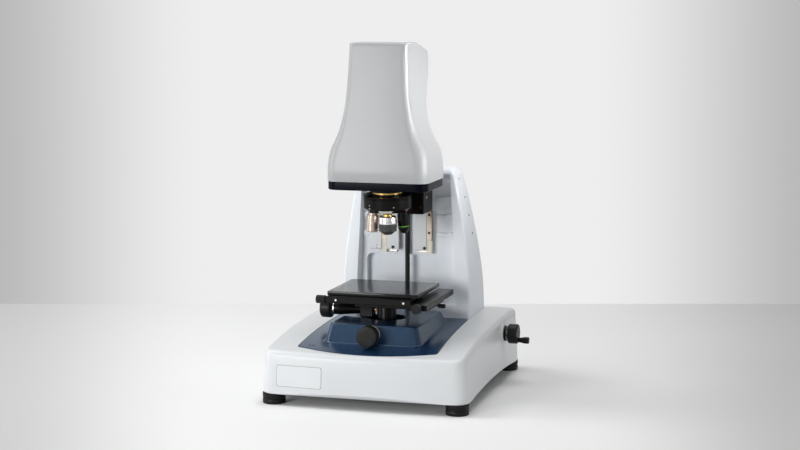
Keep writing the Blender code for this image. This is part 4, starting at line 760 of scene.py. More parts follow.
BRASS = Machined("brass", "brass", (0.75, 0.50, 0.16), 0.26, 1.0)
CREAM = Moulded("cream plastic", "cream_plastic", (0.72, 0.69, 0.58), 0.5, tooth=0.05)
TAN_METAL = Machined("tan metal", "tan_metal", (0.56, 0.48, 0.41), 0.26, 0.9)
GIB_METAL = Machined("gib metal", "tan_metal", (0.36, 0.31, 0.26), 0.34, 0.8)
RED_METAL = Machined("salmon metal", "red_metal", (0.48, 0.15, 0.12), 0.32, 0.5)
GREY_METAL = Paint("grey casting", "grey_metal", (0.20, 0.21, 0.22), 0.5, 0.3, peel=0.3)
GREEN_BAND = Paint("green band", "black_anodised", (0.13, 0.42, 0.03), 0.3)
RED_BAND = Paint("red band", "red_metal", (0.80, 0.03, 0.02), 0.3)
PALE_PLATE = Paint("pale plate", "white_paint", (0.66, 0.65, 0.61), 0.32, coat=0.3)
LABEL_WHITE = Paint("plate white", "white_paint", (0.665, 0.685, 0.70), 0.36, coat=0.15)


class Workshop:
    """Turns shapes into pieces that ride on the frame's bodies, and dresses the frame's own nodes."""

    def __init__(self, frame: dict) -> None:
        """Keep the frame's nodes at hand.
        """
        self.nodes = frame["nodes"]
        self.pieces = 0

    def add(self, name: str, shape: bmesh.types.BMesh, finish: Finish, body: str,
            replaces: Sequence[str] = (), sharp: float = SOFT_ANGLE, bevel: float = 0.0) -> bpy.types.Object:
        """Make a piece from a shape.

        Args:
            name: Name of the piece.
            shape: Its shape, in the instrument's own measures.
            finish: Its finish.
            body: Body that it rides on.
            replaces: Nodes that it stands for.
            sharp: Angle in degrees above which an edge is drawn sharp.
            bevel: Width of the small rounding along sharp edges.

        Returns:
            The piece.
        """
        bmesh.ops.translate(shape, verts=shape.verts, vec=SHIFT)
        mesh = to_mesh(name, shape)
        mesh.materials.append(finish.material())
        piece = in_scene(name, mesh)
        if bevel > 0.0:
            self.round_edges(piece, bevel)
        piece.data.shade_smooth()
        piece.data.set_sharp_from_angle(angle=math.radians(sharp))
        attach(piece, body)
        if replaces:
            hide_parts(*replaces)
        self.pieces += 1
        LOG.info("%s rides on %s in %s", name, body, finish.name)
        return piece

    def round_edges(self, piece: bpy.types.Object, width: float) -> None:
        """Round a piece's sharp edges in its mesh."""
        modifier = piece.modifiers.new("edges", "BEVEL")
        modifier.width = width
        modifier.segments = 2
        modifier.limit_method = "ANGLE"
        modifier.angle_limit = math.radians(EDGE_ANGLE)
        modifier.harden_normals = False
        graph = bpy.context.evaluated_depsgraph_get()
        mesh = bpy.data.meshes.new_from_object(piece.evaluated_get(graph))
        piece.modifiers.clear()
        old = piece.data
        piece.data = mesh
        bpy.data.meshes.remove(old)

    def dress(self, finish: Finish, *names: str) -> None:
        """Give nodes of the frame a finish.

        Args:
            finish: The finish.
            names: Names of the nodes.
        """
        for name in names:
            node = self.nodes[name]
            for index in range(len(node.material_slots)):
                node.material_slots[index].material = finish.material()
            LOG.info("%s keeps its shape in %s", name, finish.name)


def cap_screw(centre: Place, kind: Screw, axis: Axis, sign: float = 1.0) -> bmesh.types.BMesh:
    """A socket head screw whose head stands out of a surface.

    Args:
        centre: Point on the surface.
        kind: Kind of screw, which gives the size of its head.
        axis: Axis of the screw.
        sign: Which way along the axis it faces.

    Returns:
        The shape.
    """
    radius, height = kind.value
    socket = radius * 0.5
    profile = [
        (0.0, -sign * radius * 0.4), (radius * 0.96, -sign * radius * 0.4), (radius, sign * height * 0.7),
        (radius * 0.9, sign * height), (socket, sign * height), (socket * 0.92, sign * height * 0.25),
        (0.0, sign * height * 0.15),
    ]
    return turned(profile, 12, axis, centre)


def front_screws(places: Sequence[Place], kind: Screw) -> bmesh.types.BMesh:
    """Socket head screws that face the front, as one shape."""
    return merged(*[cap_screw(place, kind, Axis.Y, -1.0) for place in places])


# Base

@dataclass(frozen=True)
class Base:
    """White cast base: drafted walls, a top that falls away to the front, feet and a bare plate."""

    half_width: float = 0.2165
    front: float = -0.256
    rear: float = 0.248
    corner: float = 0.030
    bow: float = 0.008
    draft: float = 0.0055
    edge: float = 0.011
    edge_end: float = 84.0
    edge_steps: int = 8
    wall: float = 0.009
    deck: float = 0.010
    top_rear: float = 0.1375
    top_drop: float = 0.0305
    top_power: float = 3.3
    front_arch: float = 0.007
    side_arch: float = 0.009
    skirt_edge: float = 0.002
    floor_top: float = 0.042
    floor_ledge: float = 0.008
    foot_x: float = 0.1925
    foot_y: float = 0.2245
    foot_radius: float = 0.0235
    foot_height: float = 0.022
    foot_groove: float = 0.0016
    drive_y: float = 0.092
    drive_z: float = 0.106
    boss_radius: float = 0.0195
    boss_depth: float = 0.020
    cavity_margin: float = 0.006
    cavity_slant: float = 0.008
    plate_corner: float = 0.004
    plate_rim: float = 0.0008
    rim_lift: float = 0.0003
    face_lift: float = 0.0006
    plate_left: float = -0.179
    plate_right: float = -0.083
    plate_low: float = 0.040
    plate_high: float = 0.082

    def top(self, y: float) -> float:
        """Height of the deck at a depth."""
        share = climb(y, self.rear, self.front)
        return self.top_rear - self.top_drop * share ** self.top_power

    def bottom(self, x: float, y: float) -> float:
        """Height of the skirt's lower edge, arched between the feet."""
        front_share = 1.0 - (x / (self.foot_x - self.foot_radius)) ** 2
        side_share = 1.0 - (y / (self.foot_y - self.foot_radius)) ** 2
        arch = self.front_arch * max(front_share, 0.0) + self.side_arch * max(side_share, 0.0)
        return self.foot_height + FIT_GAP + arch

    def plan(self, inset: float) -> Outline:
        """Plan outline of the base, inset by a distance."""
        return whole_plan(half_plan(
            self.half_width - inset, self.front + inset, self.rear - inset, self.corner - inset,
            bow=self.bow, side_steps=28,
        ))

    def outer(self) -> bmesh.types.BMesh:
        """Outside of the base with its rounded top edge."""
        rings = [
            at_height(self.plan(self.skirt_edge), self.bottom),
            at_height(self.plan(self.skirt_edge * 0.3),
                      lambda x, y: self.bottom(x, y) + self.skirt_edge * 0.3),
            at_height(self.plan(0.0), lambda x, y: self.bottom(x, y) + self.skirt_edge),
        ]
        for step in range(self.edge_steps + 1):
            angle = math.radians(self.edge_end * step / self.edge_steps)
            inset = self.draft + self.edge * (1.0 - math.cos(angle))
            drop = self.edge * (1.0 - math.sin(angle))
            rings.append(at_height(self.plan(inset), lambda x, y, d=drop: self.top(y) - d))
        return loft(rings, Cap.LADDER)

    def cavity_plan(self, inset: float) -> Outline:
        """Cross-shaped cavity that leaves solid corners over the feet."""
        wide = self.half_width - self.draft - self.wall - inset
        narrow = self.foot_x - self.foot_radius - self.cavity_margin - inset
        shoulder = self.foot_y - self.foot_radius - self.cavity_margin - inset
        front = self.front + self.bow + self.wall + inset
        right = [(narrow, front), (narrow, -shoulder - self.cavity_slant)]
        right += [(wide, y) for y in spaced(-shoulder, shoulder, 14)]
        right += [(narrow, shoulder + self.cavity_slant), (narrow, self.rear - self.wall - inset)]
        return whole_plan(right)

    def cavity(self) -> bmesh.types.BMesh:
        """Hollow under the deck."""
        plan = self.cavity_plan(self.floor_ledge)
        return loft([
            at_height(plan, self.floor_top - 0.002),
            at_height(plan, lambda x, y: self.top(y) - self.deck),
        ], Cap.LADDER, has_middle=False)

    def floor_recess(self) -> bmesh.types.BMesh:
        """Recess that the floor plate fits into from below."""
        plan = self.cavity_plan(0.0)
        return loft([at_height(plan, 0.0), at_height(plan, self.floor_top + FIT_GAP)], Cap.LADDER,
                    has_middle=False)

    def boss(self) -> bmesh.types.BMesh:
        """Round land with a flared foot for the crank's flange."""
        face = self.half_width - 0.0005
        root = face - self.boss_depth
        radius = self.boss_radius
        profile = (
            (0.0, root), (radius + 0.003, root), (radius + 0.003, face - 0.0042),
            (radius + 0.0014, face - 0.0034), (radius + 0.0005, face - 0.0022), (radius, face - 0.0010),
            (radius - 0.0004, face - 0.0002), (radius - 0.001, face), (0.0, face),
        )
        return turned(profile, 64, Axis.X, (0.0, self.drive_y, self.drive_z))

    def front_face(self, x: float, z: float) -> float:
        """Depth of the front wall's face."""
        low = self.bottom(x, self.front)
        high = self.top(self.front) - self.edge
        return (self.front + self.bow * (x / (self.half_width - self.corner)) ** 2
                + self.draft * (z - low) / (high - low))

    def plate(self, margin: float, thickness: float) -> bmesh.types.BMesh:
        """Thin plate that follows the front wall.

        Args:
            margin: How far it reaches past the plate's own outline.
            thickness: How far it stands out of the wall.

        Returns:
            The shape.
        """
        left, right = self.plate_left - margin, self.plate_right + margin
        middle = (self.plate_low + self.plate_high) * 0.5
        half = (self.plate_high - self.plate_low) * 0.5 + margin
        corner = self.plate_corner
        rings = []
        for x in spaced(left, right, 60):
            near_end = min(x - left, right - x, corner)
            reach = half - corner + math.sqrt(max(corner ** 2 - (corner - near_end) ** 2, 0.0))
            ring = []
            for z, lift in ((middle - reach, -0.0006), (middle + reach, -0.0006),
                            (middle + reach, thickness), (middle - reach, thickness)):
                ring.append((x, self.front_face(x, z) - lift, z))
            rings.append(ring)
        return loft(rings)

    def foot(self, x: float, y: float) -> bmesh.types.BMesh:
        """Round rubber foot with a groove around it."""
        radius, edge = self.foot_radius, 0.002
        groove = radius - self.foot_groove
        middle = self.foot_height * 0.5
        profile = (
            (0.0, 0.0), (radius - edge, 0.0), (radius - edge * 0.3, edge * 0.3), (radius, edge),
            (radius, middle - edge), (radius - 0.0005, middle - edge * 0.6), (groove, middle - edge * 0.4),
            (groove, middle + edge * 0.4), (radius - 0.0005, middle + edge * 0.6), (radius, middle + edge),
            (radius, self.foot_height - 0.0006), (radius - 0.0006, self.foot_height),
            (0.0, self.foot_height),
        )
        return turned(profile, 48, Axis.Z, (x, y, 0.0))

    def build(self, shop: Workshop, cover: "Cover") -> None:
        """Make the casting, its feet and its plate.

        Args:
            shop: Workshop that makes the pieces.
            cover: Blue cover that is let into the deck.
        """
        shape = worked(self.outer(), Cutting.CUT, self.cavity(), self.floor_recess(), cover.recess(),
                       cover.deck_opening())
        shape = worked(shape, Cutting.JOIN, self.boss())
        centre = (0.0, self.drive_y, self.drive_z)
        shape = worked(
            shape, Cutting.CUT,
            rod(SHAFT_BORE, self.half_width - 0.05, self.half_width + 0.01, Axis.X, centre),
            rod(SCREW_BORE, self.floor_top + 0.02, cover.plinth_top, Axis.Z, (0.0, self.drive_y, 0.0)),
        )
        shop.add("base_shell", shape, WHITE_PAINT, "root", ["base_casting"])
        for side, x in (("left", -self.foot_x), ("right", self.foot_x)):
            for end, y in (("front", -self.foot_y), ("rear", self.foot_y)):
                shop.add("rubber_foot_%s_%s" % (end, side), self.foot(x, y), RUBBER, "root",
                         ["foot_%s_%s" % (end, side)])
        shop.add("base_plate_rim", self.plate(self.plate_rim, self.rim_lift), GREY_METAL, "root")
        shop.add("base_plate_face", self.plate(0.0, self.face_lift), LABEL_WHITE, "root")
        shop.dress(GREY_METAL, "base_floor_plate")


@dataclass(frozen=True)
class Cover:
    """Blue cover let into the deck, with its plinth and the opening around the post."""

    base: Base
    half_width: float = 0.146
    rear_half_width: float = 0.141
    front: float = -0.238
    bow: float = 0.026
    rear: float = 0.0745
    corner: float = 0.009
    gap: float = 0.0015
    thickness: float = 0.003
    ledge: float = 0.009
    plinth_top: float = 0.158
    plinth_half_width: float = 0.093
    plinth_front: float = -0.167
    plinth_rear: float = 0.037
    plinth_splay: float = 0.009
    plinth_corner: float = 0.012
    plinth_edge: float = 0.0035
    post_y: float = -0.066
    post_opening: float = 0.040
    foot_reach: float = 0.004
    foot_fillet: float = 0.005
    tip_z: float = 0.142
    tip_hub: float = 0.0113
    screw_pairs: tuple[tuple[float, float], ...] = (
        (-0.120, -0.198), (0.117, -0.198), (0.107, 0.048), (-0.107, 0.048),
    )
    screw_offset: float = 0.004

    def plan(self, inset: float) -> Outline:
        """Plan outline of the cover, inset by a distance."""
        return whole_plan(half_plan(
            self.half_width - inset, self.front + inset, self.rear - inset, self.corner - 0.5 * inset,
            bow=self.bow, rear_half_width=self.rear_half_width - inset, side_steps=20, corner_steps=6,
        ))

    def plinth_plan(self, outset: float) -> Outline:
        """Plan outline of the plinth, with as many points as the cover's outline."""
        return whole_plan(half_plan(
            self.plinth_half_width + outset, self.plinth_front - outset, self.plinth_rear + outset * 0.7,
            self.plinth_corner + 0.3 * outset, side_steps=20, corner_steps=6,
        ))

    def recess(self) -> bmesh.types.BMesh:
        """Seat of the cover in the deck."""
        plan = self.plan(-self.gap)
        return loft([
            at_height(plan, lambda x, y: self.base.top(y) - self.thickness - FIT_GAP),
            at_height(plan, self.plinth_top),
        ], Cap.LADDER)

    def deck_opening(self) -> bmesh.types.BMesh:
        """Opening through the deck, under the cover's ledge."""
        plan = self.plan(self.ledge)
        low = self.base.floor_top + self.base.floor_ledge
        return loft([at_height(plan, low), at_height(plan, self.plinth_top)], Cap.LADDER)

    def opening_ring(self, count: int, widening: float = 0.0) -> Outline:
        """Even points on the round opening, from its front."""
        radius = self.post_opening + widening
        angles = [2.0 * math.pi * index / count - math.pi * 0.5 for index in range(count)]
        return [(radius * math.cos(angle), self.post_y + radius * math.sin(angle)) for angle in angles]

    def shape(self) -> bmesh.types.BMesh:
        """Curved plate, plinth and opening in one sheet."""
        def deck(lift: float) -> Callable[[float, float], float]:
            return lambda x, y: self.base.top(y) + lift

        edge = self.plan(0.0)
        splay, fillet = self.plinth_splay + self.foot_reach, self.foot_fillet
        foot = self.plinth_plan(splay)
        top, round_edge = self.plinth_top, self.plinth_edge
        rings = [at_height(edge, deck(-self.thickness)), at_height(edge, deck(-0.0008))]
        rings += [at_height(self.plan(0.0003), deck(-0.0002)), at_height(self.plan(0.001), deck(0.0))]
        rings += [at_height(between(self.plan(0.001), foot, share), deck(0.0))
                  for share in spaced(0.1, 1.0, 9)]
        for step in range(1, 5):
            angle = math.radians(65.0 * step / 4)
            outset = splay - fillet * math.sin(angle)
            rings.append(at_height(self.plinth_plan(outset), deck(fillet * (1.0 - math.cos(angle)))))
        for step in range(7):
            angle = math.radians(20.0 + 70.0 * step / 6)
            outset = (round_edge + 0.0004) * math.cos(angle) - round_edge
            rings.append(at_height(self.plinth_plan(outset), top - round_edge * (1.0 - math.sin(angle))))
        ledge = self.plinth_plan(-round_edge - 0.001)
        opening = self.opening_ring(len(edge), 0.0008)
        rings += [at_height(between(ledge, opening, share), top) for share in spaced(0.2, 1.0, 4)]
        mouth = self.opening_ring(len(edge))
        rings += [at_height(mouth, top - 0.0008), at_height(mouth, top - self.thickness)]
        rings += [
            at_height(self.plinth_plan(-round_edge), top - self.thickness),
            at_height(self.plinth_plan(0.001 - self.thickness), top - round_edge - self.thickness),
            at_height(self.plinth_plan(self.plinth_splay - self.thickness), deck(-self.thickness)),
        ]
        return loft(rings, Cap.LOOP)

    def screw_places(self) -> list[tuple[float, float]]:
        """Where the pairs of small cover screws stand."""
        offsets = (-self.screw_offset, self.screw_offset)
        return [(x + offset, y) for x, y in self.screw_pairs for offset in offsets]

    def screw(self, x: float, y: float) -> bmesh.types.BMesh:
        """A small pan head screw with a socket on the sloping cover."""
        return cap_screw((x, y, self.base.top(y)), Screw.COVER, Axis.Z)

    def build(self, shop: Workshop) -> None:
        """Make the cover and its screws."""
        hole = rod(self.tip_hub, self.plinth_front - 0.03, self.plinth_front + 0.02, Axis.Y,
                   (0.0, 0.0, self.tip_z), 48)
        shop.add("blue_cover", worked(self.shape(), Cutting.CUT, hole), BLUE_COVER, "root", ["top_cover"])
        screws = merged(*[self.screw(x, y) for x, y in self.screw_places()])
        shop.add("cover_screws", screws, BLACK_STEEL, "root")


# Column

@dataclass(frozen=True)
class Column:
    """White cast column, open between two wings at the front."""

    base: Base
    front: float = 0.078
    top: float = 0.457
    half_width: float = 0.142
    narrowing: float = 0.038
    narrowing_start: float = 0.190
    narrowing_power: float = 1.55
    rear_foot: float = 0.222
    rear_lean: float = 0.064
    rear_power: float = 1.15
    rear_corner: float = 0.008
    front_corner: float = 0.005
    top_edge: float = 0.014
    open_half_width: float = 0.1152
    open_narrowing: float = 0.0168
    inner_wall: float = 0.100
    recess_wall: float = 0.117
    recess_half_width: float = 0.094
    recess_low: float = 0.162
    recess_high: float = 0.267
    recess_corner: float = 0.014
    back_wall: float = 0.010
    lintel: float = 0.012
    rib_heights: tuple[float, ...] = (0.312, 0.351, 0.390, 0.428)
    rib_depth: float = 0.0055
    rib_half_height: float = 0.0045
    rib_pad: float = 0.0067
    rib_inner_x: float = 0.064
    rib_margin: float = 0.006
    rib_root: float = 0.002
    rib_edge: float = 0.001
    pad_rise: float = 0.0006
    bay_corner: float = 0.004
    hollow_margin: float = 0.008
    rear_screw_inset: float = 0.008
    rear_screw_rise: float = 0.012
    rear_screw_middle: float = 0.292
    side_places: tuple[tuple[float, float], ...] = (
        (0.1115, 0.4329), (0.1305, 0.3915), (0.1384, 0.3517), (0.145, 0.3118),
    )
    rear_cover_half_width: float = 0.085
    rear_cover_low: float = 0.165
    rear_cover_high: float = 0.420
    rear_cover_thickness: float = 0.0025
    level_steps: int = 21

    def width(self, z: float) -> float:
        """Outer half-width at a height."""
        share = climb(z, self.narrowing_start, self.top)
        return self.half_width - self.narrowing * share ** self.narrowing_power

    def rear(self, z: float) -> float:
        """Rear face at a height."""
        share = climb(z, self.base.top_rear, self.top)
        return self.rear_foot - self.rear_lean * share ** self.rear_power

    def inner_width(self, z: float) -> float:
        """Half-width of the open front at a height."""
        return self.open_half_width - self.open_narrowing * climb(z, self.base.top_rear, self.top)

    def plan(self, z: float, inset: float) -> Outline:
        """Plan outline at a height."""
        half_width = self.width(z) - inset
        return whole_plan(half_plan(
            half_width, self.front + inset, self.rear(z) - inset, self.front_corner,
            rear_corner=self.rear_corner, rear_half_width=half_width - 0.001,
            side_steps=6, corner_steps=8, front_steps=1,
        )[1:])

    def levels(self) -> list[float]:
        """Heights at which the outline is set out."""
        return spaced(self.base.top_rear + 0.004, self.top - self.top_edge, self.level_steps)

    def outer(self) -> bmesh.types.BMesh:
        """Outside of the column with a rounded top."""
        foot = self.plan(self.base.top_rear, 0.0)
        rings = [at_height(foot, lambda x, y: self.base.top(y) + FIT_GAP)]
        rings += [at_height(self.plan(z, 0.0), z) for z in self.levels()]
        for step in range(1, 7):
            angle = CAP_STEP * step
            inset = self.top_edge * (1.0 - math.cos(angle))
            height = self.top - self.top_edge * (1.0 - math.sin(angle))
            rings.append(at_height(self.plan(self.top, inset), height))
        return loft(rings, Cap.LADDER, has_middle=False)

    def bay_ring(self, z: float) -> list[Place]:
        """Outline of the space between the wings at a height, with rounded inner corners."""
        half_width = self.inner_width(z)
        round_edge = self.bay_corner
        ring = [(-half_width, self.front - 0.01, z), (half_width, self.front - 0.01, z)]
        corner_x = half_width - 2.0 * round_edge
        corner_y = self.inner_wall - round_edge
        arc = [CAP_STEP * step for step in range(7)]
        right = [(corner_x + round_edge * math.cos(a), corner_y + round_edge * math.sin(a), z) for a in arc]
        return ring + right + [(-x, y, z) for x, y, z in reversed(right)]

    def bay(self) -> bmesh.types.BMesh:
        """Space between the two wings, back to the inner wall."""
        lintel = self.top - self.lintel
        levels = [self.recess_low]
        levels += [z for z in self.levels() if self.recess_low + 0.004 < z < lintel - 0.004]
        return loft([self.bay_ring(z) for z in levels + [lintel]])

    def pocket(self) -> bmesh.types.BMesh:
        """Deeper pocket in the lower part of the inner wall."""
        outline = round_rectangle(-self.recess_half_width, self.recess_half_width, self.recess_low,
                                  self.recess_high, self.recess_corner)
        return prism(outline, self.inner_wall - 0.006, self.recess_wall, Axis.Y)

    def rear_hollow(self) -> bmesh.types.BMesh:
        """Hollow behind the inner wall, open at the back."""
        margin = self.hollow_margin
        half_width = self.rear_cover_half_width - margin
        low = (-half_width, self.recess_wall + self.back_wall, self.rear_cover_low + margin)
        return block(low, (half_width, self.rear_foot + 0.02, self.rear_cover_high - margin))

    def rear_seat(self) -> bmesh.types.BMesh:
        """Seat of the rear cover, which follows the leaning back."""
        inner = -self.rear_cover_thickness - FIT_GAP
        levels = spaced(self.rear_cover_low - FIT_GAP, self.rear_cover_high + FIT_GAP, 6)
        outline = [(self.rear(z) + inner, z) for z in levels]
        outline += [(self.rear(z) + 0.02, z) for z in reversed(levels)]
        reach = self.rear_cover_half_width + FIT_GAP
        return prism(outline, -reach, reach, Axis.X)

    def rib(self, side: float, z: float) -> list[bmesh.types.BMesh]:
        """Horizontal rib on the inner wall with a round pad at its outer end."""
        outer = self.inner_width(z) - self.rib_margin
        pad_place = (side * (outer - self.rib_margin), 0.0, z)
        low_x, high_x = sorted((side * self.rib_inner_x, side * outer))
        front, root = self.inner_wall - self.rib_depth, self.inner_wall + self.rib_root
        bar = block((low_x, front, z - self.rib_half_height), (high_x, root, z + self.rib_half_height),
                    self.rib_edge)
        pad = rod(self.rib_pad, front - self.pad_rise, root, Axis.Y, pad_place)
        return [bar, pad]

    def side_screws(self) -> bmesh.types.BMesh:
        """Small screws up the outer right side."""
        places = [(self.width(z), y, z) for y, z in self.side_places]
        return merged(*[cap_screw(place, Screw.COLUMN_SIDE, Axis.X) for place in places])

    def rear_screws(self) -> bmesh.types.BMesh:
        """Screws in the corners and the sides of the rear cover."""
        screws = []
        reach, rise = self.rear_cover_half_width - self.rear_screw_inset, self.rear_screw_rise
        for x in (-reach, reach):
            for z in (self.rear_cover_low + rise, self.rear_screw_middle, self.rear_cover_high - rise):
                screws.append(cap_screw((x, self.rear(z), z), Screw.REAR_COVER, Axis.Y))
        return merged(*screws)

    def build(self, shop: Workshop) -> None:
        """Make the casting and dress what hangs on it."""
        shape = worked(self.outer(), Cutting.CUT, self.bay(), self.pocket(), self.rear_hollow(),
                       self.rear_seat())
        ribs = [part for side in (-1.0, 1.0) for z in self.rib_heights for part in self.rib(side, z)]
        shape = worked(shape, Cutting.JOIN, *ribs)
        shape = worked(shape, Cutting.CUT, rod(SCREW_BORE, self.base.top_rear - 0.01, self.recess_low + 0.01,
                                               Axis.Z, (0.0, self.base.drive_y, 0.0)))
        # The column's paint is lightened as painted light for the shaded bay.
        shop.add("column_shell", shape, LIT_COLUMN_PAINT, "root", ["column_casting"])
        shop.add("rear_cover_screws", self.rear_screws(), BLACK_STEEL, "root")
        shop.add("column_side_screws", self.side_screws(), BLACK_STEEL, "root")
        shop.dress(LIT_COLUMN_PAINT, "column_rear_cover")
        shop.dress(STEEL, "guide_rail_left", "guide_rail_right", "lower_screw_bearing",
                   "upper_screw_bearing")


# Lift drive

@dataclass(frozen=True)
class LiftDrive:
    """Lead screw with its gear, and the crank that turns it."""

    screw_y: float = 0.092
    drive_z: float = 0.106
    screw_radius: float = 0.0053
    screw_top: float = 0.444
    thread_pitch: float = 0.002
    thread_depth: float = 0.00035
    thread_starts: int = 4
    gear_radius: float = 0.013
    gear_teeth: int = 16
    gear_tooth: float = 0.0016
    gear_face: float = 0.006
    gear_taper: float = 0.55
    gear_play: float = 0.0007
    wheel_low: float = 0.2248
    wheel_length: float = 0.021
    wheel_radius: float = 0.021
    wheel_edge: float = 0.0035
    bore_share: float = 0.6
    throw: float = 0.013
    pin_radius: float = 0.003
    pin_share: float = 0.75
    grip_length: float = 0.023
    grip_radius: float = 0.0072
    grip_neck: float = 0.0052

    def thread(self, low: float, high: float) -> bmesh.types.BMesh:
        """Rod with a fine thread of several starts.

        Args:
            low: Height of its lower end.
            high: Height of its upper end.

        Returns:
            The shape.
        """
        per_pitch = 6
        steps = self.thread_starts * per_pitch
        rise = self.thread_pitch / per_pitch
        depths = (0.0, 0.0, 0.5, 1.0, 1.0, 0.5)
        rings = []
        for level in range(int((high - low) / rise) + 1):
            ring = []
            for step in range(steps):
                radius = self.screw_radius - self.thread_depth * depths[(level - step) % per_pitch]
                angle = 2.0 * math.pi * step / steps
                ring.append((radius * math.cos(angle), self.screw_y + radius * math.sin(angle),
                             low + level * rise))
            rings.append(ring)
        return loft(rings)

    def gear(self, low: float, high: float) -> bmesh.types.BMesh:
        """Bevel gear with straight teeth, wide at its low end."""
        rings = []
        for level, scale in ((low, 1.0), (high, self.gear_taper)):
            ring = []
            for step in range(self.gear_teeth * 4):
                radius = self.gear_radius if step % 4 < 2 else self.gear_radius - self.gear_tooth
                angle = 2.0 * math.pi * step / (self.gear_teeth * 4)
                ring.append((scale * radius * math.cos(angle),
                             self.screw_y + scale * radius * math.sin(angle), level))
            rings.append(ring)
        return loft(rings)

    def wheel(self) -> bmesh.types.BMesh:
        """Crank wheel with broad rounded edges and a shallow dish."""
        low, high = self.wheel_low, self.wheel_low + self.wheel_length
        profile = disc_profile(self.wheel_radius, low, high, self.wheel_edge, 5)
        shape = turned(profile, 72, Axis.X, (0.0, self.screw_y, self.drive_z))
        bore = rod(SHAFT_BORE, low - 0.01, low + self.wheel_length * self.bore_share + FIT_GAP, Axis.X,
                   (0.0, self.screw_y, self.drive_z))
        root, end = high - 0.002, high + self.grip_length * self.pin_share
        pin = turned((
            (0.0, root), (self.pin_radius, root), (self.pin_radius, end - 0.0004),
            (self.pin_radius - 0.0004, end), (0.0, end),
        ), 32, Axis.X, self.grip_centre())
        return worked(worked(shape, Cutting.CUT, bore), Cutting.JOIN, pin)

    def grip_centre(self) -> Place:
        """Point on the grip's own axis."""
        return (0.0, self.screw_y, self.drive_z - self.throw)

    def grip(self) -> bmesh.types.BMesh:
        """Revolving grip, slim at its neck and round at its end."""
        neck = self.wheel_low + self.wheel_length + FIT_GAP
        end = neck + self.grip_length
        bore = self.pin_radius + FIT_GAP
        bore_end = neck + self.grip_length * self.pin_share
        rim = 0.0022
        profile = [(0.0, bore_end), (bore, bore_end), (bore, neck), (self.grip_neck - 0.0004, neck),
                   (self.grip_neck, neck + 0.0004)]
        for share in spaced(0.0, 1.0, 8):
            belly = self.grip_neck + (self.grip_radius - self.grip_neck) * ease(share)
            profile.append((belly, neck + 0.002 + (self.grip_length - 0.008) * share))
        for step in range(7):
            angle = CAP_STEP * step
            profile.append((
                self.grip_radius - rim * (1.0 - math.cos(angle)), end - rim * (1.0 - math.sin(angle)),
            ))
        profile.append((0.0, end))
        return turned(profile, 48, Axis.X, self.grip_centre())

    def build(self, shop: Workshop) -> None:
        """Make the screw, its gear, the wheel and the grip."""
        gear_low = self.drive_z - self.gear_radius - self.gear_play
        gear_high = gear_low + self.gear_face
        shop.add("lead_screw_gear", self.gear(gear_low, gear_high), STEEL, "screw", ["lead_screw"])
        shop.add("lead_screw_thread", self.thread(gear_high + 0.0002, self.screw_top), BLACK_STEEL, "screw")
        shop.add("crank_disc", self.wheel(), BLACK_PLASTIC, "crank", ["crank_wheel"])
        shop.add("crank_handle", self.grip(), BLACK_PLASTIC, "grip", ["crank_grip"])
        high = self.wheel_low + self.wheel_length
        dot = cap_screw((high, self.screw_y, self.drive_z + 0.009), Screw.CRANK_SET, Axis.X)
        shop.add("crank_set_screw", dot, SCREW_STEEL, "crank")
        shop.dress(STEEL, "crank_shaft")
        shop.dress(BLACK_ANODISED, "crank_flange")


# Carriage and head

@dataclass(frozen=True)
class Carriage:
    """Screws on the lift carriage and its bracket; the plates themselves come from the frame."""

    face: float = 0.084
    strip_face: float = 0.085
    cap_places: tuple[tuple[float, float], ...] = ((-0.0306, 0.2838), (0.040, 0.2835))
    strip_places: tuple[float, ...] = (0.317, 0.356)
    strip_x: float = 0.0503
    switch_x: float = -0.0667
    switch_places: tuple[float, ...] = (0.2812, 0.2868)
    bracket_screw: Place = (0.058, 0.0323, 0.400)
    bracket_socket: Place = (0.0515, 0.010, 0.381)

    def build(self, shop: Workshop) -> None:
        """Add the screws and dress the carriage."""
        caps = [(x, self.face, z) for x, z in self.cap_places]
        strips = [(x, self.strip_face, z) for x in (-self.strip_x, self.strip_x) for z in self.strip_places]
        holes = [(self.switch_x, self.face, z) for z in self.switch_places]
        side_screw = cap_screw(self.bracket_screw, Screw.BRACKET_SIDE, Axis.X)
        shop.add("carriage_screws", front_screws(caps, Screw.CARRIAGE), BLACK_STEEL, "carriage")
        shop.add("bracket_side_screw", side_screw, SCREW_STEEL, "carriage")
        shop.add("bracket_front_screw", front_screws([self.bracket_socket], Screw.BRACKET_FRONT),
                 BLACK_STEEL, "carriage")
        shop.add("gib_screws", front_screws(strips, Screw.GIB), BLACK_STEEL, "carriage")
        shop.add("switch_screws", front_screws(holes, Screw.SWITCH), BLACK_STEEL, "carriage")
        shop.dress(WHITE_PAINT, "lift_carriage", "limit_switch_cover")
        shop.dress(GIB_METAL, "gib_strip_left", "gib_strip_right")
        shop.dress(CREAM, "way_wiper_left", "way_wiper_right")
        shop.dress(BRASS, "lift_nut")
        shop.dress(BLACK_ANODISED, "head_bracket")


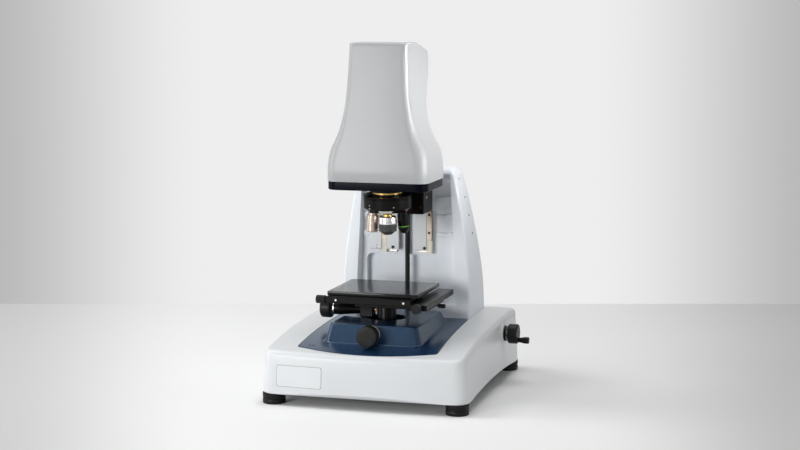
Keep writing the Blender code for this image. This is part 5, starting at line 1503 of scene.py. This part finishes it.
@dataclass(frozen=True)
class Head:
    """White waisted cover of the head and the near-black plate under it."""

    plate_low: float = 0.430
    plate_thickness: float = 0.017
    front: float = -0.150
    rear: float = -0.002
    plate_inset: float = 0.0015
    plate_edge: float = 0.0025
    top: float = 0.728
    top_half_width: float = 0.0608
    taper: float = 0.007
    flare: float = 0.0397
    flare_z: float = 0.538
    flare_spread: float = 0.0215
    flare_ease: float = 0.005
    flare_ease_height: float = 0.020
    crease: float = 0.476
    lean: float = 0.018
    waist: float = 0.552
    waist_rear: float = -0.0115
    swell: float = 0.565
    crown: float = 0.692
    crown_rear: float = 0.036
    slope: float = 0.7085
    slope_rear: float = 0.028
    top_rear: float = -0.048
    corner: float = 0.025
    top_corner: float = 0.012
    corner_low: float = 0.500
    corner_high: float = 0.600
    rear_corner: float = 0.016
    rear_corner_share: float = 0.7
    wall: float = 0.003
    wall_slant: float = 1.2
    top_edge: float = 0.004

    def width(self, z: float) -> float:
        """Half-width: broad at the bottom and waisted above."""
        above = z - self.flare_z
        spread = self.flare_spread + self.flare_ease * math.tanh(above / self.flare_ease_height)
        taper = self.taper * min((self.top - z) / (self.top - self.flare_z), 1.0)
        return self.top_half_width + taper + self.flare / (1.0 + math.exp(above / spread))

    def front_at(self, z: float) -> float:
        """Front face, upright below the crease and leaning back above it."""
        return self.front + self.lean * max(z - self.crease, 0.0) / (self.top - self.crease)

    def rear_at(self, z: float) -> float:
        """Rear face: in at the waist, out to the crown, then sloping to the top."""
        if z <= self.waist:
            share = ease(climb(z, self.crease, self.waist))
            return self.rear + (self.waist_rear - self.rear) * share
        if z <= self.crown:
            share = ease(climb(z, self.swell, self.crown))
            return self.waist_rear + (self.crown_rear - self.waist_rear) * share
        if z <= self.slope:
            share = climb(z, self.crown, self.slope)
            return self.crown_rear + (self.slope_rear - self.crown_rear) * share * share
        share = climb(z, self.slope, self.top)
        return self.slope_rear + (self.top_rear - self.slope_rear) * share

    def plan(self, z: float, inset: float, rear: float | None = None) -> Outline:
        """Plan outline at a height.

        Args:
            z: The height.
            inset: How far the outline is moved in.
            rear: Depth of the rear face, if it differs from the outside's.

        Returns:
            Points of the outline.
        """
        rear = self.rear_at(z) if rear is None else rear
        share = ease(climb(z, self.corner_low, self.corner_high))
        corner = self.corner + (self.top_corner - self.corner) * share
        return whole_plan(half_plan(
            self.width(z) - inset, self.front_at(z) + inset, rear - inset, corner - inset,
            rear_corner=min(self.rear_corner, corner * self.rear_corner_share) - inset,
            side_steps=6, corner_steps=12, front_steps=1,
        )[1:])

    def inner_ring(self, z: float) -> list[Place]:
        """Outline of the inside, which keeps its wall under the sloping top too."""
        rear = min(self.rear_at(z), self.rear_at(z + self.wall * self.wall_slant))
        return at_height(self.plan(z, self.wall, rear), z)

    def shell(self) -> bmesh.types.BMesh:
        """Shell of the cover, open below."""
        bottom = self.plate_low + self.plate_thickness + FIT_GAP
        levels = [bottom + 0.001] + spaced(self.crease - 0.006, self.crown, 44)
        levels += spaced(self.crown, self.slope, 5)[1:] + spaced(self.slope, self.top - self.top_edge, 4)[1:]
        outer = [at_height(self.plan(bottom, 0.0006), bottom)]
        outer += [at_height(self.plan(z, 0.0), z) for z in levels]
        for step in range(1, 7):
            angle = CAP_STEP * step
            inset = self.top_edge * (1.0 - math.cos(angle))
            height = self.top - self.top_edge * (1.0 - math.sin(angle))
            outer.append(at_height(self.plan(height, inset), height))
        heights = [bottom] + spaced(self.crease, self.crown, 15)
        heights += [self.slope - self.wall * self.wall_slant, self.top - self.top_edge - self.wall]
        inner = [self.inner_ring(z) for z in heights]
        shape = bmesh.new()
        outside = [[shape.verts.new(point) for point in ring] for ring in outer]
        inside = [[shape.verts.new(point) for point in ring] for ring in inner]
        for rings in (outside, inside):
            for lower, upper in zip(rings, rings[1:]):
                bridge(shape, lower, upper)
            shape.faces.new(rings[-1])
        bridge(shape, outside[0], inside[0])
        face_outward(shape)
        return shape

    def under_plate(self) -> bmesh.types.BMesh:
        """Plate under the cover with a rounded lower edge."""
        low, high = self.plate_low, self.plate_low + self.plate_thickness
        edge = self.plate_edge
        rings = []
        for step in range(6):
            angle = math.radians(18.0 * step)
            inset = self.plate_inset + edge * (1.0 - math.sin(angle))
            rings.append(at_height(self.plan(low, inset), low + edge * (1.0 - math.cos(angle))))
        rings.append(at_height(self.plan(low, self.plate_inset), high - 0.0004))
        rings.append(at_height(self.plan(low, self.plate_inset + 0.0004), high))
        return loft(rings)

    def build(self, shop: Workshop) -> None:
        """Make the cover and the plate, and dress the optics inside."""
        # The cover's paint is the white paint darkened as painted shade.
        shop.add("head_shell", self.shell(), SHADED_HEAD_PAINT, "carriage", ["head_cover"])
        shop.add("head_under_plate", self.under_plate(), NAVY_PAINT, "carriage", ["head_plate"])
        shop.dress(BLACK_ANODISED, "optics_tube", "beam_splitter_box")
        shop.dress(GREY_METAL, "camera", "lamp_housing")


# Turret

@dataclass(frozen=True)
class Turret:
    """Revolving ring with four objectives, its mount and the gold ring above it."""

    y: float = -0.060
    z: float = 0.398
    lean: float = math.radians(4.0)
    radius: float = 0.050
    half_height: float = 0.017
    chamfer: float = 0.010
    port_circle: float = 0.034
    port_step: float = math.radians(60.0)
    front_port: float = math.radians(-74.0)
    thread_radius: float = 0.0095
    neck: float = 0.004
    band_play: float = 0.0002
    stud_places: tuple[tuple[float, float], ...] = ((-121.0, -0.0005), (-121.0, -0.0066), (-59.0, -0.0024))

    def leaned(self, shape: bmesh.types.BMesh) -> bmesh.types.BMesh:
        """Lean a shape that was made upright around the turret's middle."""
        spin(shape, self.lean, Axis.X)
        bmesh.ops.translate(shape, verts=shape.verts, vec=(0.0, self.y, self.z))
        return shape

    def ported(self, shape: bmesh.types.BMesh, port: int) -> bmesh.types.BMesh:
        """Move a shape made along Z to a port, leaning outwards from the turret's axis."""
        spin(shape, -self.lean, Axis.Y)
        bmesh.ops.translate(shape, verts=shape.verts, vec=(self.port_circle, 0.0, 0.0))
        spin(shape, self.front_port + self.port_step * port, Axis.Z)
        return self.leaned(shape)

    def lens_part(self, profile: Sequence[tuple[float, float]], port: int) -> bmesh.types.BMesh:
        """Turned part of an objective, given as radius and depth below its seat."""
        seat = -self.half_height - FIT_GAP - self.thread_radius * math.tan(self.lean)
        return self.ported(turned([(radius, seat - depth) for radius, depth in profile], 48), port)

    def ring(self) -> bmesh.types.BMesh:
        """Revolving ring with a broad lower chamfer and a grip groove."""
        half, radius = self.half_height, self.radius
        inner = radius - self.chamfer
        shoulder = -half + self.chamfer * 0.8
        profile = (
            (0.0, -half), (inner - 0.0008, -half), (inner, -half + 0.0004),
            (radius - 0.0006, shoulder - 0.0005), (radius, shoulder + 0.0004),
            (radius, half - 0.0054), (radius - 0.0004, half - 0.0050), (radius - 0.0015, half - 0.0045),
            (radius - 0.0015, half - 0.003), (radius - 0.0004, half - 0.0026), (radius, half - 0.0022),
            (radius, half - 0.0006), (radius - 0.0006, half), (0.0, half),
        )
        return self.leaned(turned(profile, 96))

    def name_plate(self, start: float, end: float) -> bmesh.types.BMesh:
        """Bare curved plate on the ring's lower chamfer between two angles in degrees."""
        half = self.half_height
        low = (self.radius - self.chamfer + 0.0014, -half + 0.0012)
        high = (self.radius - 0.0014, -half + self.chamfer * 0.8 - 0.0012)
        out = 0.0006
        normal = Vector((self.chamfer * 0.8, 0.0, -self.chamfer)).normalized()
        section = [(low[0] - normal.x * out, low[1] - normal.z * out),
                   (high[0] - normal.x * out, high[1] - normal.z * out),
                   (high[0] + normal.x * out, high[1] + normal.z * out),
                   (low[0] + normal.x * out, low[1] + normal.z * out)]
        rings = []
        for angle in (math.radians(value) for value in spaced(start, end, 24)):
            rings.append([(r * math.cos(angle), r * math.sin(angle), z) for r, z in section])
        return self.leaned(loft(rings))

    def studs(self) -> bmesh.types.BMesh:
        """Small bright screws round the ring."""
        heads = []
        for angle, height in self.stud_places:
            head = cap_screw((self.radius, 0.0, height), Screw.TURRET, Axis.X)
            spin(head, math.radians(angle), Axis.Z)
            heads.append(head)
        return self.leaned(merged(*heads))

    def wide_objective(self, shop: Workshop) -> None:
        """Chrome and black objective in front."""
        neck = self.neck
        shop.add("objective_a_thread", self.lens_part((
            (0.0, 0.0), (self.thread_radius - 0.0006, 0.0), (self.thread_radius, 0.0008),
            (self.thread_radius, neck - 0.0002), (0.0, neck - 0.0002)), 0), BRASS, "turret")
        chrome = (
            (0.0, neck), (0.0162, neck), (0.0170, neck + 0.0006), (0.0183, neck + 0.0021),
            (0.0185, neck + 0.0026), (0.0185, 0.0132), (0.0187, 0.0138), (0.0194, 0.0143),
            (0.0195, 0.0147), (0.0195, 0.0193), (0.0194, 0.0197), (0.0186, 0.0202), (0.0184, 0.0205),
            (0.0, 0.0205),
        )
        shop.add("objective_a_chrome", self.lens_part(chrome, 0), CHROME, "turret", ["objective_a_barrel"])
        start = 0.0208
        cone = (
            (0.0, 0.0), (0.0184, 0.0), (0.0188, 0.0004), (0.0188, 0.0091), (0.0186, 0.0095), (0.0177, 0.0099),
            (0.0175, 0.0103), (0.0175, 0.0112), (0.0177, 0.0116), (0.0186, 0.0120), (0.0188, 0.0124),
            (0.0188, 0.0132), (0.0185, 0.0137), (0.0083, 0.0212), (0.0078, 0.0215), (0.0062, 0.0215),
            (0.0054, 0.0207), (0.0, 0.0205),
        )
        shape = self.lens_part([(radius, depth + start) for radius, depth in cone], 0)
        shop.add("objective_a_cone", shape, LENS_BLACK, "turret", ["objective_a_nose"])

    def green_objective(self, shop: Workshop) -> None:
        """Black objective with a green band."""
        band_low, band_high = 0.0276, 0.0300
        barrel = (
            (0.0, 0.0), (self.thread_radius, 0.0), (self.thread_radius, self.neck), (0.0111, self.neck),
            (0.0115, self.neck + 0.0005), (0.0116, 0.0150), (0.0118, 0.0153), (0.0118, band_low),
            (0.0112, band_low), (0.0112, band_high), (0.0118, band_high), (0.0118, 0.0310),
            (0.0112, 0.0345), (0.0073, 0.0413), (0.0068, 0.0415), (0.0050, 0.0415), (0.0042, 0.0407),
            (0.0, 0.0405),
        )
        shop.add("objective_b_barrel", self.lens_part(barrel, 1), BLACK_ANODISED, "turret", ["objective_b"])
        self.band(shop, "objective_b_band", 0.0112, 0.0121, (band_low, band_high), 1, GREEN_BAND)

    def band(self, shop: Workshop, name: str, inner: float, outer: float, span: tuple[float, float],
             port: int, finish: Finish) -> None:
        """Coloured band let into a barrel.

        Args:
            shop: Workshop that makes the piece.
            name: Name of the piece.
            inner: Radius of the groove.
            outer: Radius of the band.
            span: Depths between which it sits.
            port: Port of the objective.
            finish: Finish of the band.
        """
        play = self.band_play
        profile = (
            (inner + play, span[0] + play), (outer - 0.0002, span[0] + play), (outer, span[0] + 2.0 * play),
            (outer, span[1] - 2.0 * play), (outer - 0.0002, span[1] - play), (inner + play, span[1] - play),
        )
        shop.add(name, self.lens_part(profile, port), finish, "turret")

    def red_objective(self, shop: Workshop) -> None:
        """Slim salmon objective with a red band and a black tip."""
        barrel = (
            (0.0, 0.0), (self.thread_radius, 0.0), (self.thread_radius, self.neck - 0.0006),
            (0.0092, self.neck), (0.0090, self.neck + 0.0004), (0.0090, 0.0180), (0.0087, 0.0183),
            (0.0087, 0.0189), (0.0090, 0.0192), (0.0090, 0.0400), (0.0095, 0.0403), (0.0095, 0.0440),
            (0.0, 0.0440),
        )
        shop.add("objective_c_barrel", self.lens_part(barrel, 2), RED_METAL, "turret", ["objective_c"])
        self.band(shop, "objective_c_band", 0.0095, 0.0105, (0.0402, 0.0442), 2, RED_BAND)
        tip = (
            (0.0, 0.0443), (0.0092, 0.0443), (0.0096, 0.0447), (0.0096, 0.0468), (0.0093, 0.0473),
            (0.0063, 0.0508), (0.0058, 0.0510), (0.0044, 0.0510), (0.0037, 0.0503), (0.0, 0.0501),
        )
        shop.add("objective_c_tip", self.lens_part(tip, 2), BLACK_ANODISED, "turret")

    def tan_objective(self, shop: Workshop) -> None:
        """Plain tan objective."""
        barrel = (
            (0.0, 0.0), (self.thread_radius, 0.0), (self.thread_radius, self.neck), (0.0120, self.neck),
            (0.0125, self.neck + 0.0005), (0.0125, 0.0130), (0.0121, 0.0133), (0.0121, 0.0142),
            (0.0125, 0.0145), (0.0125, 0.0378), (0.0121, 0.0384), (0.0113, 0.0390), (0.0090, 0.0390),
            (0.0080, 0.0380), (0.0, 0.0378),
        )
        shop.add("objective_d_barrel", self.lens_part(barrel, -1), TAN_METAL, "turret", ["objective_d"])

    def build(self, shop: Workshop) -> None:
        """Make the ring, its plate and the objectives."""
        shop.add("turret_disc", self.ring(), BLACK_ANODISED, "turret", ["turret_ring"])
        shop.add("turret_name_plate", self.name_plate(-96.0, -62.0), PALE_PLATE, "turret")
        shop.add("turret_studs", self.studs(), SCREW_STEEL, "turret")
        self.wide_objective(shop)
        self.green_objective(shop)
        self.red_objective(shop)
        self.tan_objective(shop)
        shop.dress(BLACK_ANODISED, "turret_mount")
        shop.dress(BRASS, "turret_thread_ring")


# Tip and tilt

@dataclass(frozen=True)
class TipTilt:
    """Knobs that tip and tilt the stage, with the parts they pass through."""

    post_y: float = -0.066
    tip_z: float = 0.142
    tip_radius: float = 0.0215
    tip_front: float = -0.211
    tip_length: float = 0.0225
    tip_shaft: float = 0.006
    tip_edge: float = 0.0022
    tilt_z: float = 0.1725
    tilt_radius: float = 0.021
    tilt_outer: float = -0.1415
    tilt_length: float = 0.023
    tilt_shaft: float = 0.0035
    tilt_edge: float = 0.0032
    bore_share: float = 0.6
    ring_radius: float = 0.0142
    ring_length: float = 0.0035
    housing_start: float = -0.1115
    housing_length: float = 0.056
    housing_radius: float = 0.0138
    housing_small: float = 0.0095
    bezel_radius: float = 0.0195
    bezel_seat: float = -0.177
    bezel_thickness: float = 0.0035
    hub_radius: float = 0.011
    hub_length: float = 0.016

    def knob(self, radius: float, low: float, length: float, edge: float, bore: float, axis: Axis,
             centre: Place) -> bmesh.types.BMesh:
        """Round knob with a blind bore at its high end.

        Args:
            radius: Outer radius.
            low: Where it starts along the axis.
            length: Its length.
            edge: Radius of its edges.
            bore: Radius of the bore.
            axis: Its axis.
            centre: Point on the axis.

        Returns:
            The shape.
        """
        high = low + length
        shape = turned(disc_profile(radius, low, high, edge, 5), 72, axis, centre)
        socket = rod(bore, high - length * self.bore_share - FIT_GAP, high + 0.01, axis, centre)
        return worked(shape, Cutting.CUT, socket)

    def bezel(self) -> bmesh.types.BMesh:
        """Disc behind the tip knob with its hub through the plinth."""
        seat, radius, bore = self.bezel_seat, self.bezel_radius, self.tip_shaft + FIT_GAP
        face = seat - self.bezel_thickness
        profile = (
            (bore, face), (radius - 0.0012, face), (radius - 0.0004, face + 0.0004),
            (radius, face + 0.0012), (radius, seat), (self.hub_radius, seat),
            (self.hub_radius, seat + self.hub_length), (bore, seat + self.hub_length),
        )
        return turned(profile, 72, Axis.Y, (0.0, 0.0, self.tip_z))

    def housing(self) -> bmesh.types.BMesh:
        """Tapered black housing around the tilt shaft."""
        start, end = self.housing_start, self.housing_start + self.housing_length
        bore = self.tilt_shaft + FIT_GAP
        profile = (
            (bore, start), (self.housing_radius - 0.0005, start), (self.housing_radius, start + 0.0005),
            (self.housing_radius, start + 0.0135), (self.housing_radius - 0.0003, start + 0.0145),
            (self.housing_small, end - 0.0005), (self.housing_small - 0.0005, end), (bore, end),
        )
        return turned(profile, 64, Axis.X, (0.0, self.post_y, self.tilt_z))

    def collar(self) -> bmesh.types.BMesh:
        """Bright ring in front of the housing."""
        high = self.housing_start - FIT_GAP
        low = high - self.ring_length
        radius, bore = self.ring_radius, self.tilt_shaft + FIT_GAP
        profile = ((bore, low), (radius - 0.0006, low), (radius, low + 0.0006), (radius, high - 0.0006),
                   (radius - 0.0006, high), (bore, high))
        return turned(profile, 64, Axis.X, (0.0, self.post_y, self.tilt_z))

    def build(self, shop: Workshop) -> None:
        """Make the knobs, bezel, housing and ring."""
        tip_centre = (0.0, 0.0, self.tip_z)
        tilt_centre = (0.0, self.post_y, self.tilt_z)
        tip = self.knob(self.tip_radius, self.tip_front, self.tip_length, self.tip_edge,
                        self.tip_shaft + FIT_GAP, Axis.Y, tip_centre)
        shop.add("tip_hand_knob", tip, BLACK_PLASTIC, "tip_control", ["tip_knob"])
        tilt = self.knob(self.tilt_radius, self.tilt_outer, self.tilt_length, self.tilt_edge,
                         self.tilt_shaft + FIT_GAP, Axis.X, tilt_centre)
        shop.add("tilt_hand_knob", tilt, BLACK_PLASTIC, "tilt_control", ["tilt_knob"])
        shop.add("tip_bezel_disc", self.bezel(), TAN_METAL, "root", ["tip_bezel"])
        shop.add("tilt_taper_housing", self.housing(), BLACK_ANODISED, "root", ["tilt_housing"])
        shop.add("tilt_bright_ring", self.collar(), NICKEL, "root", ["tilt_ring"])
        shop.dress(STEEL, "tip_shaft", "gimbal_ring")
        shop.dress(COPPER, "tilt_shaft")
        shop.dress(BLACK_ANODISED, "tilt_block")
        shop.dress(GREY_METAL, "stage_pedestal")


# Stage

@dataclass(frozen=True)
class Stage:
    """Sample plate with its threaded holes, the two bars and their knobs, and the post."""

    post_y: float = -0.066
    post_radius: float = 0.020
    post_low: float = 0.098
    post_high: float = 0.186
    gimbal_z: float = 0.116
    pin_radius: float = 0.004
    pin_reach: float = 0.029
    left: float = -0.105
    right: float = 0.089
    front: float = -0.142
    rear: float = 0.025
    high: float = 0.220
    low: float = 0.212
    edge: float = 0.001
    runner_low: float = 0.2032
    runner_left: float = -0.070
    runner_right: float = 0.053
    runner_fronts: tuple[float, ...] = (-0.126, -0.006)
    runner_width: float = 0.012
    hole_radius: float = 0.0014
    hole_rows: tuple[float, ...] = (0.0165, -0.0585, -0.1335)
    hole_step: float = 0.0145
    hole_margin: float = 0.012
    hole_depth: float = 0.005
    insert_play: float = 0.0001
    insert_wall: float = 0.0004
    insert_length: float = 0.0047
    knob_shaft: float = 0.0025
    knob_collar: float = 0.005
    knob_edge: float = 0.0009
    shaft_reach: float = 0.024
    x_knob_radius: float = 0.0085
    x_knob_length: float = 0.020
    x_bar_left: float = -0.104
    x_bar_front: float = -0.154
    bar_screw_places: tuple[float, ...] = (-0.083, 0.061)
    bar_screw_z: float = 0.2045
    x_axis: Place = (0.0, -0.142, 0.2028)
    y_knob_radius: float = 0.010
    y_knob_length: float = 0.014
    y_bar_front: float = -0.176
    y_axis: Place = (0.098, 0.0, 0.1998)
    standoff: float = 0.004

    def holes(self) -> list[tuple[float, float]]:
        """Where the threaded holes of the plate are."""
        count = int((self.right - self.left - self.hole_margin) / self.hole_step)
        start = (self.left + self.right - count * self.hole_step) * 0.5
        return [(start + self.hole_step * index, y) for y in self.hole_rows for index in range(count + 1)]

    def plate(self) -> bmesh.types.BMesh:
        """Top plate with its holes and the runners below it."""
        shape = block((self.left, self.front, self.low), (self.right, self.rear, self.high), self.edge)
        low, high = self.high - self.hole_depth, self.high + self.hole_depth
        drills = [rod(self.hole_radius, low, high, Axis.Z, (x, y, 0.0), 16) for x, y in self.holes()]
        shape = worked(shape, Cutting.CUT, merged(*drills))
        runners = [block((self.runner_left, front, self.runner_low),
                         (self.runner_right, front + self.runner_width, self.low + 0.002))
                   for front in self.runner_fronts]
        return worked(shape, Cutting.JOIN, *runners)

    def inserts(self) -> bmesh.types.BMesh:
        """Bright threaded inserts, each a thin sleeve in its hole."""
        outer, high = self.hole_radius - self.insert_play, self.high - self.insert_play
        inner, low = outer - self.insert_wall, high - self.insert_length
        sleeve = ((inner, low), (outer, low), (outer, high), (inner, high))
        return merged(*[turned(sleeve, 16, Axis.Z, (x, y, 0.0)) for x, y in self.holes()])

    def post(self) -> bmesh.types.BMesh:
        """Round post with the pins of the tilt axis."""
        profile = disc_profile(self.post_radius, self.post_low, self.post_high, 0.001, 3)
        shape = turned(profile, 64, Axis.Z, (0.0, self.post_y, 0.0))
        centre = (0.0, self.post_y, self.gimbal_z)
        pins = rod(self.pin_radius, -self.pin_reach, self.pin_reach, Axis.Y, centre)
        return worked(shape, Cutting.JOIN, pins)

    def knob(self, radius: float, length: float, start: float, axis: Axis,
             centre: Place) -> bmesh.types.BMesh:
        """Ribbed knob with a ringed face, a collar and a shaft, on the low side of its bar.

        Args:
            radius: Outer radius.
            length: Length of the ribbed part.
            start: Face of the bar.
            axis: Axis of the knob.
            centre: Point on the axis.

        Returns:
            The shape.
        """
        near = start - self.standoff
        far = near - length
        collar, edge = self.knob_collar, self.knob_edge
        profile = (
            (0.0, far + 0.0006), (radius * 0.32, far + 0.0006), (radius * 0.38, far), (radius * 0.52, far),
            (radius * 0.58, far + 0.0006), (radius * 0.70, far + 0.0006), (radius * 0.76, far),
            (radius - edge, far), (radius, far + edge), (radius, near - edge), (radius - edge, near),
            (collar, near), (collar, start - FIT_GAP), (self.knob_shaft, start - FIT_GAP),
            (self.knob_shaft, start + self.shaft_reach), (0.0, start + self.shaft_reach),
        )
        return ribbed(profile, 20, radius * 0.07, (far + edge * 0.9, near - edge * 0.9), axis, centre)

    def bar_screws(self) -> bmesh.types.BMesh:
        """Bright screws in the front of the X bar."""
        places = [(x, self.x_bar_front, self.bar_screw_z) for x in self.bar_screw_places]
        return front_screws(places, Screw.X_BAR)

    def build(self, shop: Workshop) -> None:
        """Make the plate, post and knobs, and dress the rest."""
        shop.add("sample_table", self.plate(), PLATE_BLACK, "plate", ["sample_plate"])
        shop.add("table_inserts", self.inserts(), BLACK_STEEL, "plate")
        shop.add("round_post", self.post(), BLACK_ANODISED, "post", ["stage_post"])
        shop.add("x_hand_knob", self.knob(self.x_knob_radius, self.x_knob_length, self.x_bar_left, Axis.X,
                                          self.x_axis), BLACK_PLASTIC, "x_screw", ["x_knob"])
        shop.add("y_hand_knob", self.knob(self.y_knob_radius, self.y_knob_length, self.y_bar_front, Axis.Y,
                                          self.y_axis), BLACK_PLASTIC, "y_screw", ["y_knob"])
        shop.add("x_bar_screws", self.bar_screws(), SCREW_STEEL, "middle_slide")
        shop.dress(STAGE_BLACK, "stage_base", "y_bar", "y_slide", "x_bar")
        shop.dress(BLACK_STEEL, "stage_lock")


# Studio

@dataclass(frozen=True)
class SoftBox:
    """One large soft light.

    Attributes:
        name: Name of the light.
        place: Where it stands.
        aim: Point it faces.
        size: Its width and height.
        power: Its power in watts.
        spread: Angle in degrees that its light keeps to.
    """

    name: str
    place: Place
    aim: Place
    size: tuple[float, float]
    power: float
    spread: float = 180.0

    def build(self) -> bpy.types.Object:
        """Hang the light."""
        data = bpy.data.lights.new(self.name, "AREA")
        data.shape = "RECTANGLE"
        data.size, data.size_y = self.size
        data.energy = self.power
        data.spread = math.radians(self.spread)
        lamp = in_scene(self.name, data)
        lamp.location = self.place
        lamp.rotation_euler = (Vector(self.aim) - Vector(self.place)).to_track_quat("-Z", "Y").to_euler()
        return lamp


@dataclass(frozen=True)
class Studio:
    """Pale floor, pale room, soft lights and the camera of the photo."""

    lens: float = 81.0
    camera_place: Place = (1.050, -3.607, 0.835)
    heading: float = 16.09
    pitch: float = 7.46
    floor_reach: float = 4.75
    floor_half_width: float = 6.0
    floor_behind: float = 4.0
    # Strength of the seen wall in the middle, and at the sides where it is painted darker as shade.
    wall_middle: float = 0.855
    wall_shaded_edge: float = 0.46
    # Sideways slant at which the painted shade of floor and wall begins and ends.
    edge_start: float = 0.10
    edge_end: float = 0.24
    room_strength: float = 0.27
    # Floor colour in the middle, and at the sides where it is painted darker as shade.
    floor_middle: Colour = (0.93, 0.93, 0.93)
    floor_shaded_edge: Colour = (0.58, 0.58, 0.58)
    lights: tuple[SoftBox, ...] = (
        SoftBox("key_light", (-1.3, -2.9, 0.60), (0.0, 0.0, 0.3), (1.2, 1.0), 43.0),
        SoftBox("left_light", (-2.4, -0.7, 0.85), (0.0, 0.0, 0.4), (0.8, 1.6), 15.0),
        SoftBox("right_light", (2.6, -0.3, 0.5), (0.0, 0.0, 0.2), (1.2, 0.8), 6.5),
        SoftBox("head_light", (1.6, 0.03, 0.76), (0.05, -0.06, 0.62), (0.4, 0.4), 0.8, 20.0),
        SoftBox("high_light", (-2.4, -0.2, 3.8), (0.0, 0.0, 0.0), (1.5, 1.5), 55.0),
        SoftBox("top_light", (0.4, 0.4, 4.5), (0.2, 0.0, 0.0), (3.0, 3.0), 80.0),
    )

    def forward(self) -> Vector:
        """Level direction in which the camera looks."""
        angle = math.radians(self.heading)
        return Vector((-math.sin(angle), math.cos(angle), 0.0))

    def camera(self) -> None:
        """Stand the camera where the photo was taken from."""
        data = bpy.data.cameras.new("photo_camera")
        data.lens = self.lens
        data.dof.use_dof = False
        item = in_scene("photo_camera", data)
        item.location = Vector(self.camera_place) + SHIFT
        item.rotation_euler = (math.radians(90.0 - self.pitch), 0.0, math.radians(self.heading))
        bpy.context.scene.camera = item

    def across(self) -> Vector:
        """Level direction to the right of the camera."""
        ahead = self.forward()
        return Vector((ahead.y, -ahead.x, 0.0))

    def stand(self) -> Vector:
        """Point of the floor below the camera."""
        return Vector((self.camera_place[0] + SHIFT.x, self.camera_place[1] + SHIFT.y, 0.0))

    def floor_material(self) -> bpy.types.Material:
        """Pale matt floor with painted shade that darkens it towards both sides of the set."""
        sheet = NodeSheet("studio_floor")
        offset = sheet.add("ShaderNodeVectorMath", operation="SUBTRACT")
        sheet.link(sheet.place, offset.inputs[0])
        offset.inputs[1].default_value = self.stand()
        parts = []
        for direction in (self.across(), self.forward()):
            part = sheet.add("ShaderNodeVectorMath", operation="DOT_PRODUCT")
            sheet.link(offset.outputs["Vector"], part.inputs[0])
            part.inputs[1].default_value = direction
            parts.append(part.outputs["Value"])
        slant = sheet.add("ShaderNodeMath", operation="DIVIDE")
        sheet.link(parts[0], slant.inputs[0])
        sheet.link(parts[1], slant.inputs[1])
        side = sheet.add("ShaderNodeMath", operation="ABSOLUTE")
        sheet.link(slant.outputs["Value"], side.inputs[0])
        # Painted shade: the floor's colour darkens towards both sides of the set.
        edge = sheet.add("ShaderNodeMapRange", interpolation_type="SMOOTHSTEP",
                         From_Min=self.edge_start, From_Max=self.edge_end)
        sheet.link(side.outputs["Value"], edge.inputs["Value"])
        shade = sheet.between_colours(edge.outputs["Result"], self.floor_middle, self.floor_shaded_edge, (0.0, 1.0))
        sheet.link(shade, sheet.shader.inputs["Base Color"])
        sheet.preset(Roughness=0.85, Specular_IOR_Level=0.2)
        sheet.bump(sheet.noise(300.0), 0.02, 0.001)
        return sheet.material

    def floor(self) -> None:
        """Floor that ends where the photo shows the line of the wall."""
        start = self.stand()
        ahead = self.forward()
        across = self.across()
        far = start + ahead * self.floor_reach
        near = start - ahead * self.floor_behind
        shape = bmesh.new()
        corners = [near - across * self.floor_half_width, near + across * self.floor_half_width,
                   far + across * self.floor_half_width, far - across * self.floor_half_width]
        shape.faces.new([shape.verts.new(corner) for corner in corners])
        mesh = to_mesh("studio_floor", shape)
        mesh.materials.append(self.floor_material())
        floor = in_scene("studio_floor", mesh)

    def room(self) -> None:
        """Pale room: a wall for what is seen, with painted shade that darkens it towards both sides, and an
        even glow for the light.
        """
        world = bpy.data.worlds.new("studio_room")
        bpy.context.scene.world = world
        world.use_nodes = True
        tree = world.node_tree
        tree.nodes.clear()
        output = add_node(tree, "ShaderNodeOutputWorld")
        seen = add_node(tree, "ShaderNodeBackground", Color=(1.0, 1.0, 1.0, 1.0))
        glow = add_node(tree, "ShaderNodeBackground", Strength=self.room_strength)
        mix = add_node(tree, "ShaderNodeMixShader")
        path = add_node(tree, "ShaderNodeLightPath")
        first = add_node(tree, "ShaderNodeMath", operation="ADD")
        second = add_node(tree, "ShaderNodeMath", operation="ADD", use_clamp=True)
        direction = add_node(tree, "ShaderNodeTexCoord")
        slant = add_node(tree, "ShaderNodeVectorMath", operation="DOT_PRODUCT")
        slant.inputs[1].default_value = self.across()
        side = add_node(tree, "ShaderNodeMath", operation="ABSOLUTE")
        # Painted shade: the seen wall darkens towards both sides.
        edge = add_node(tree, "ShaderNodeMapRange", interpolation_type="SMOOTHSTEP",
                        From_Min=self.edge_start, From_Max=self.edge_end,
                        To_Min=self.wall_middle, To_Max=self.wall_shaded_edge)
        for source, target in (
            (direction.outputs["Generated"], slant.inputs[0]), (slant.outputs["Value"], side.inputs[0]),
            (side.outputs[0], edge.inputs["Value"]), (edge.outputs["Result"], seen.inputs["Strength"]),
            (path.outputs["Is Camera Ray"], first.inputs[0]),
            (path.outputs["Is Glossy Ray"], first.inputs[1]), (first.outputs[0], second.inputs[0]),
            (path.outputs["Is Transmission Ray"], second.inputs[1]),
            (second.outputs[0], mix.inputs["Fac"]), (glow.outputs[0], mix.inputs[1]),
            (seen.outputs[0], mix.inputs[2]), (mix.outputs[0], output.inputs["Surface"]),
        ):
            tree.links.new(source, target)

    def build(self) -> None:
        """Set up the whole studio."""
        self.floor()
        self.room()
        for light in self.lights:
            light.build()
        self.camera()
        bpy.context.scene.view_settings.view_transform = "Standard"


def main() -> None:
    """Build the looks of every sub-assembly in order and log how many pieces were made."""
    logging.basicConfig(level=logging.INFO, format="%(message)s")
    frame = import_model()
    shop = Workshop(frame)
    base = Base()
    cover = Cover(base)
    base.build(shop, cover)
    cover.build(shop)
    Column(base).build(shop)
    LiftDrive().build(shop)
    Carriage().build(shop)
    Head().build(shop)
    Turret().build(shop)
    TipTilt().build(shop)
    Stage().build(shop)
    Studio().build()
    LOG.info("%d pieces", shop.pieces)


if __name__ == "__main__":
    main()
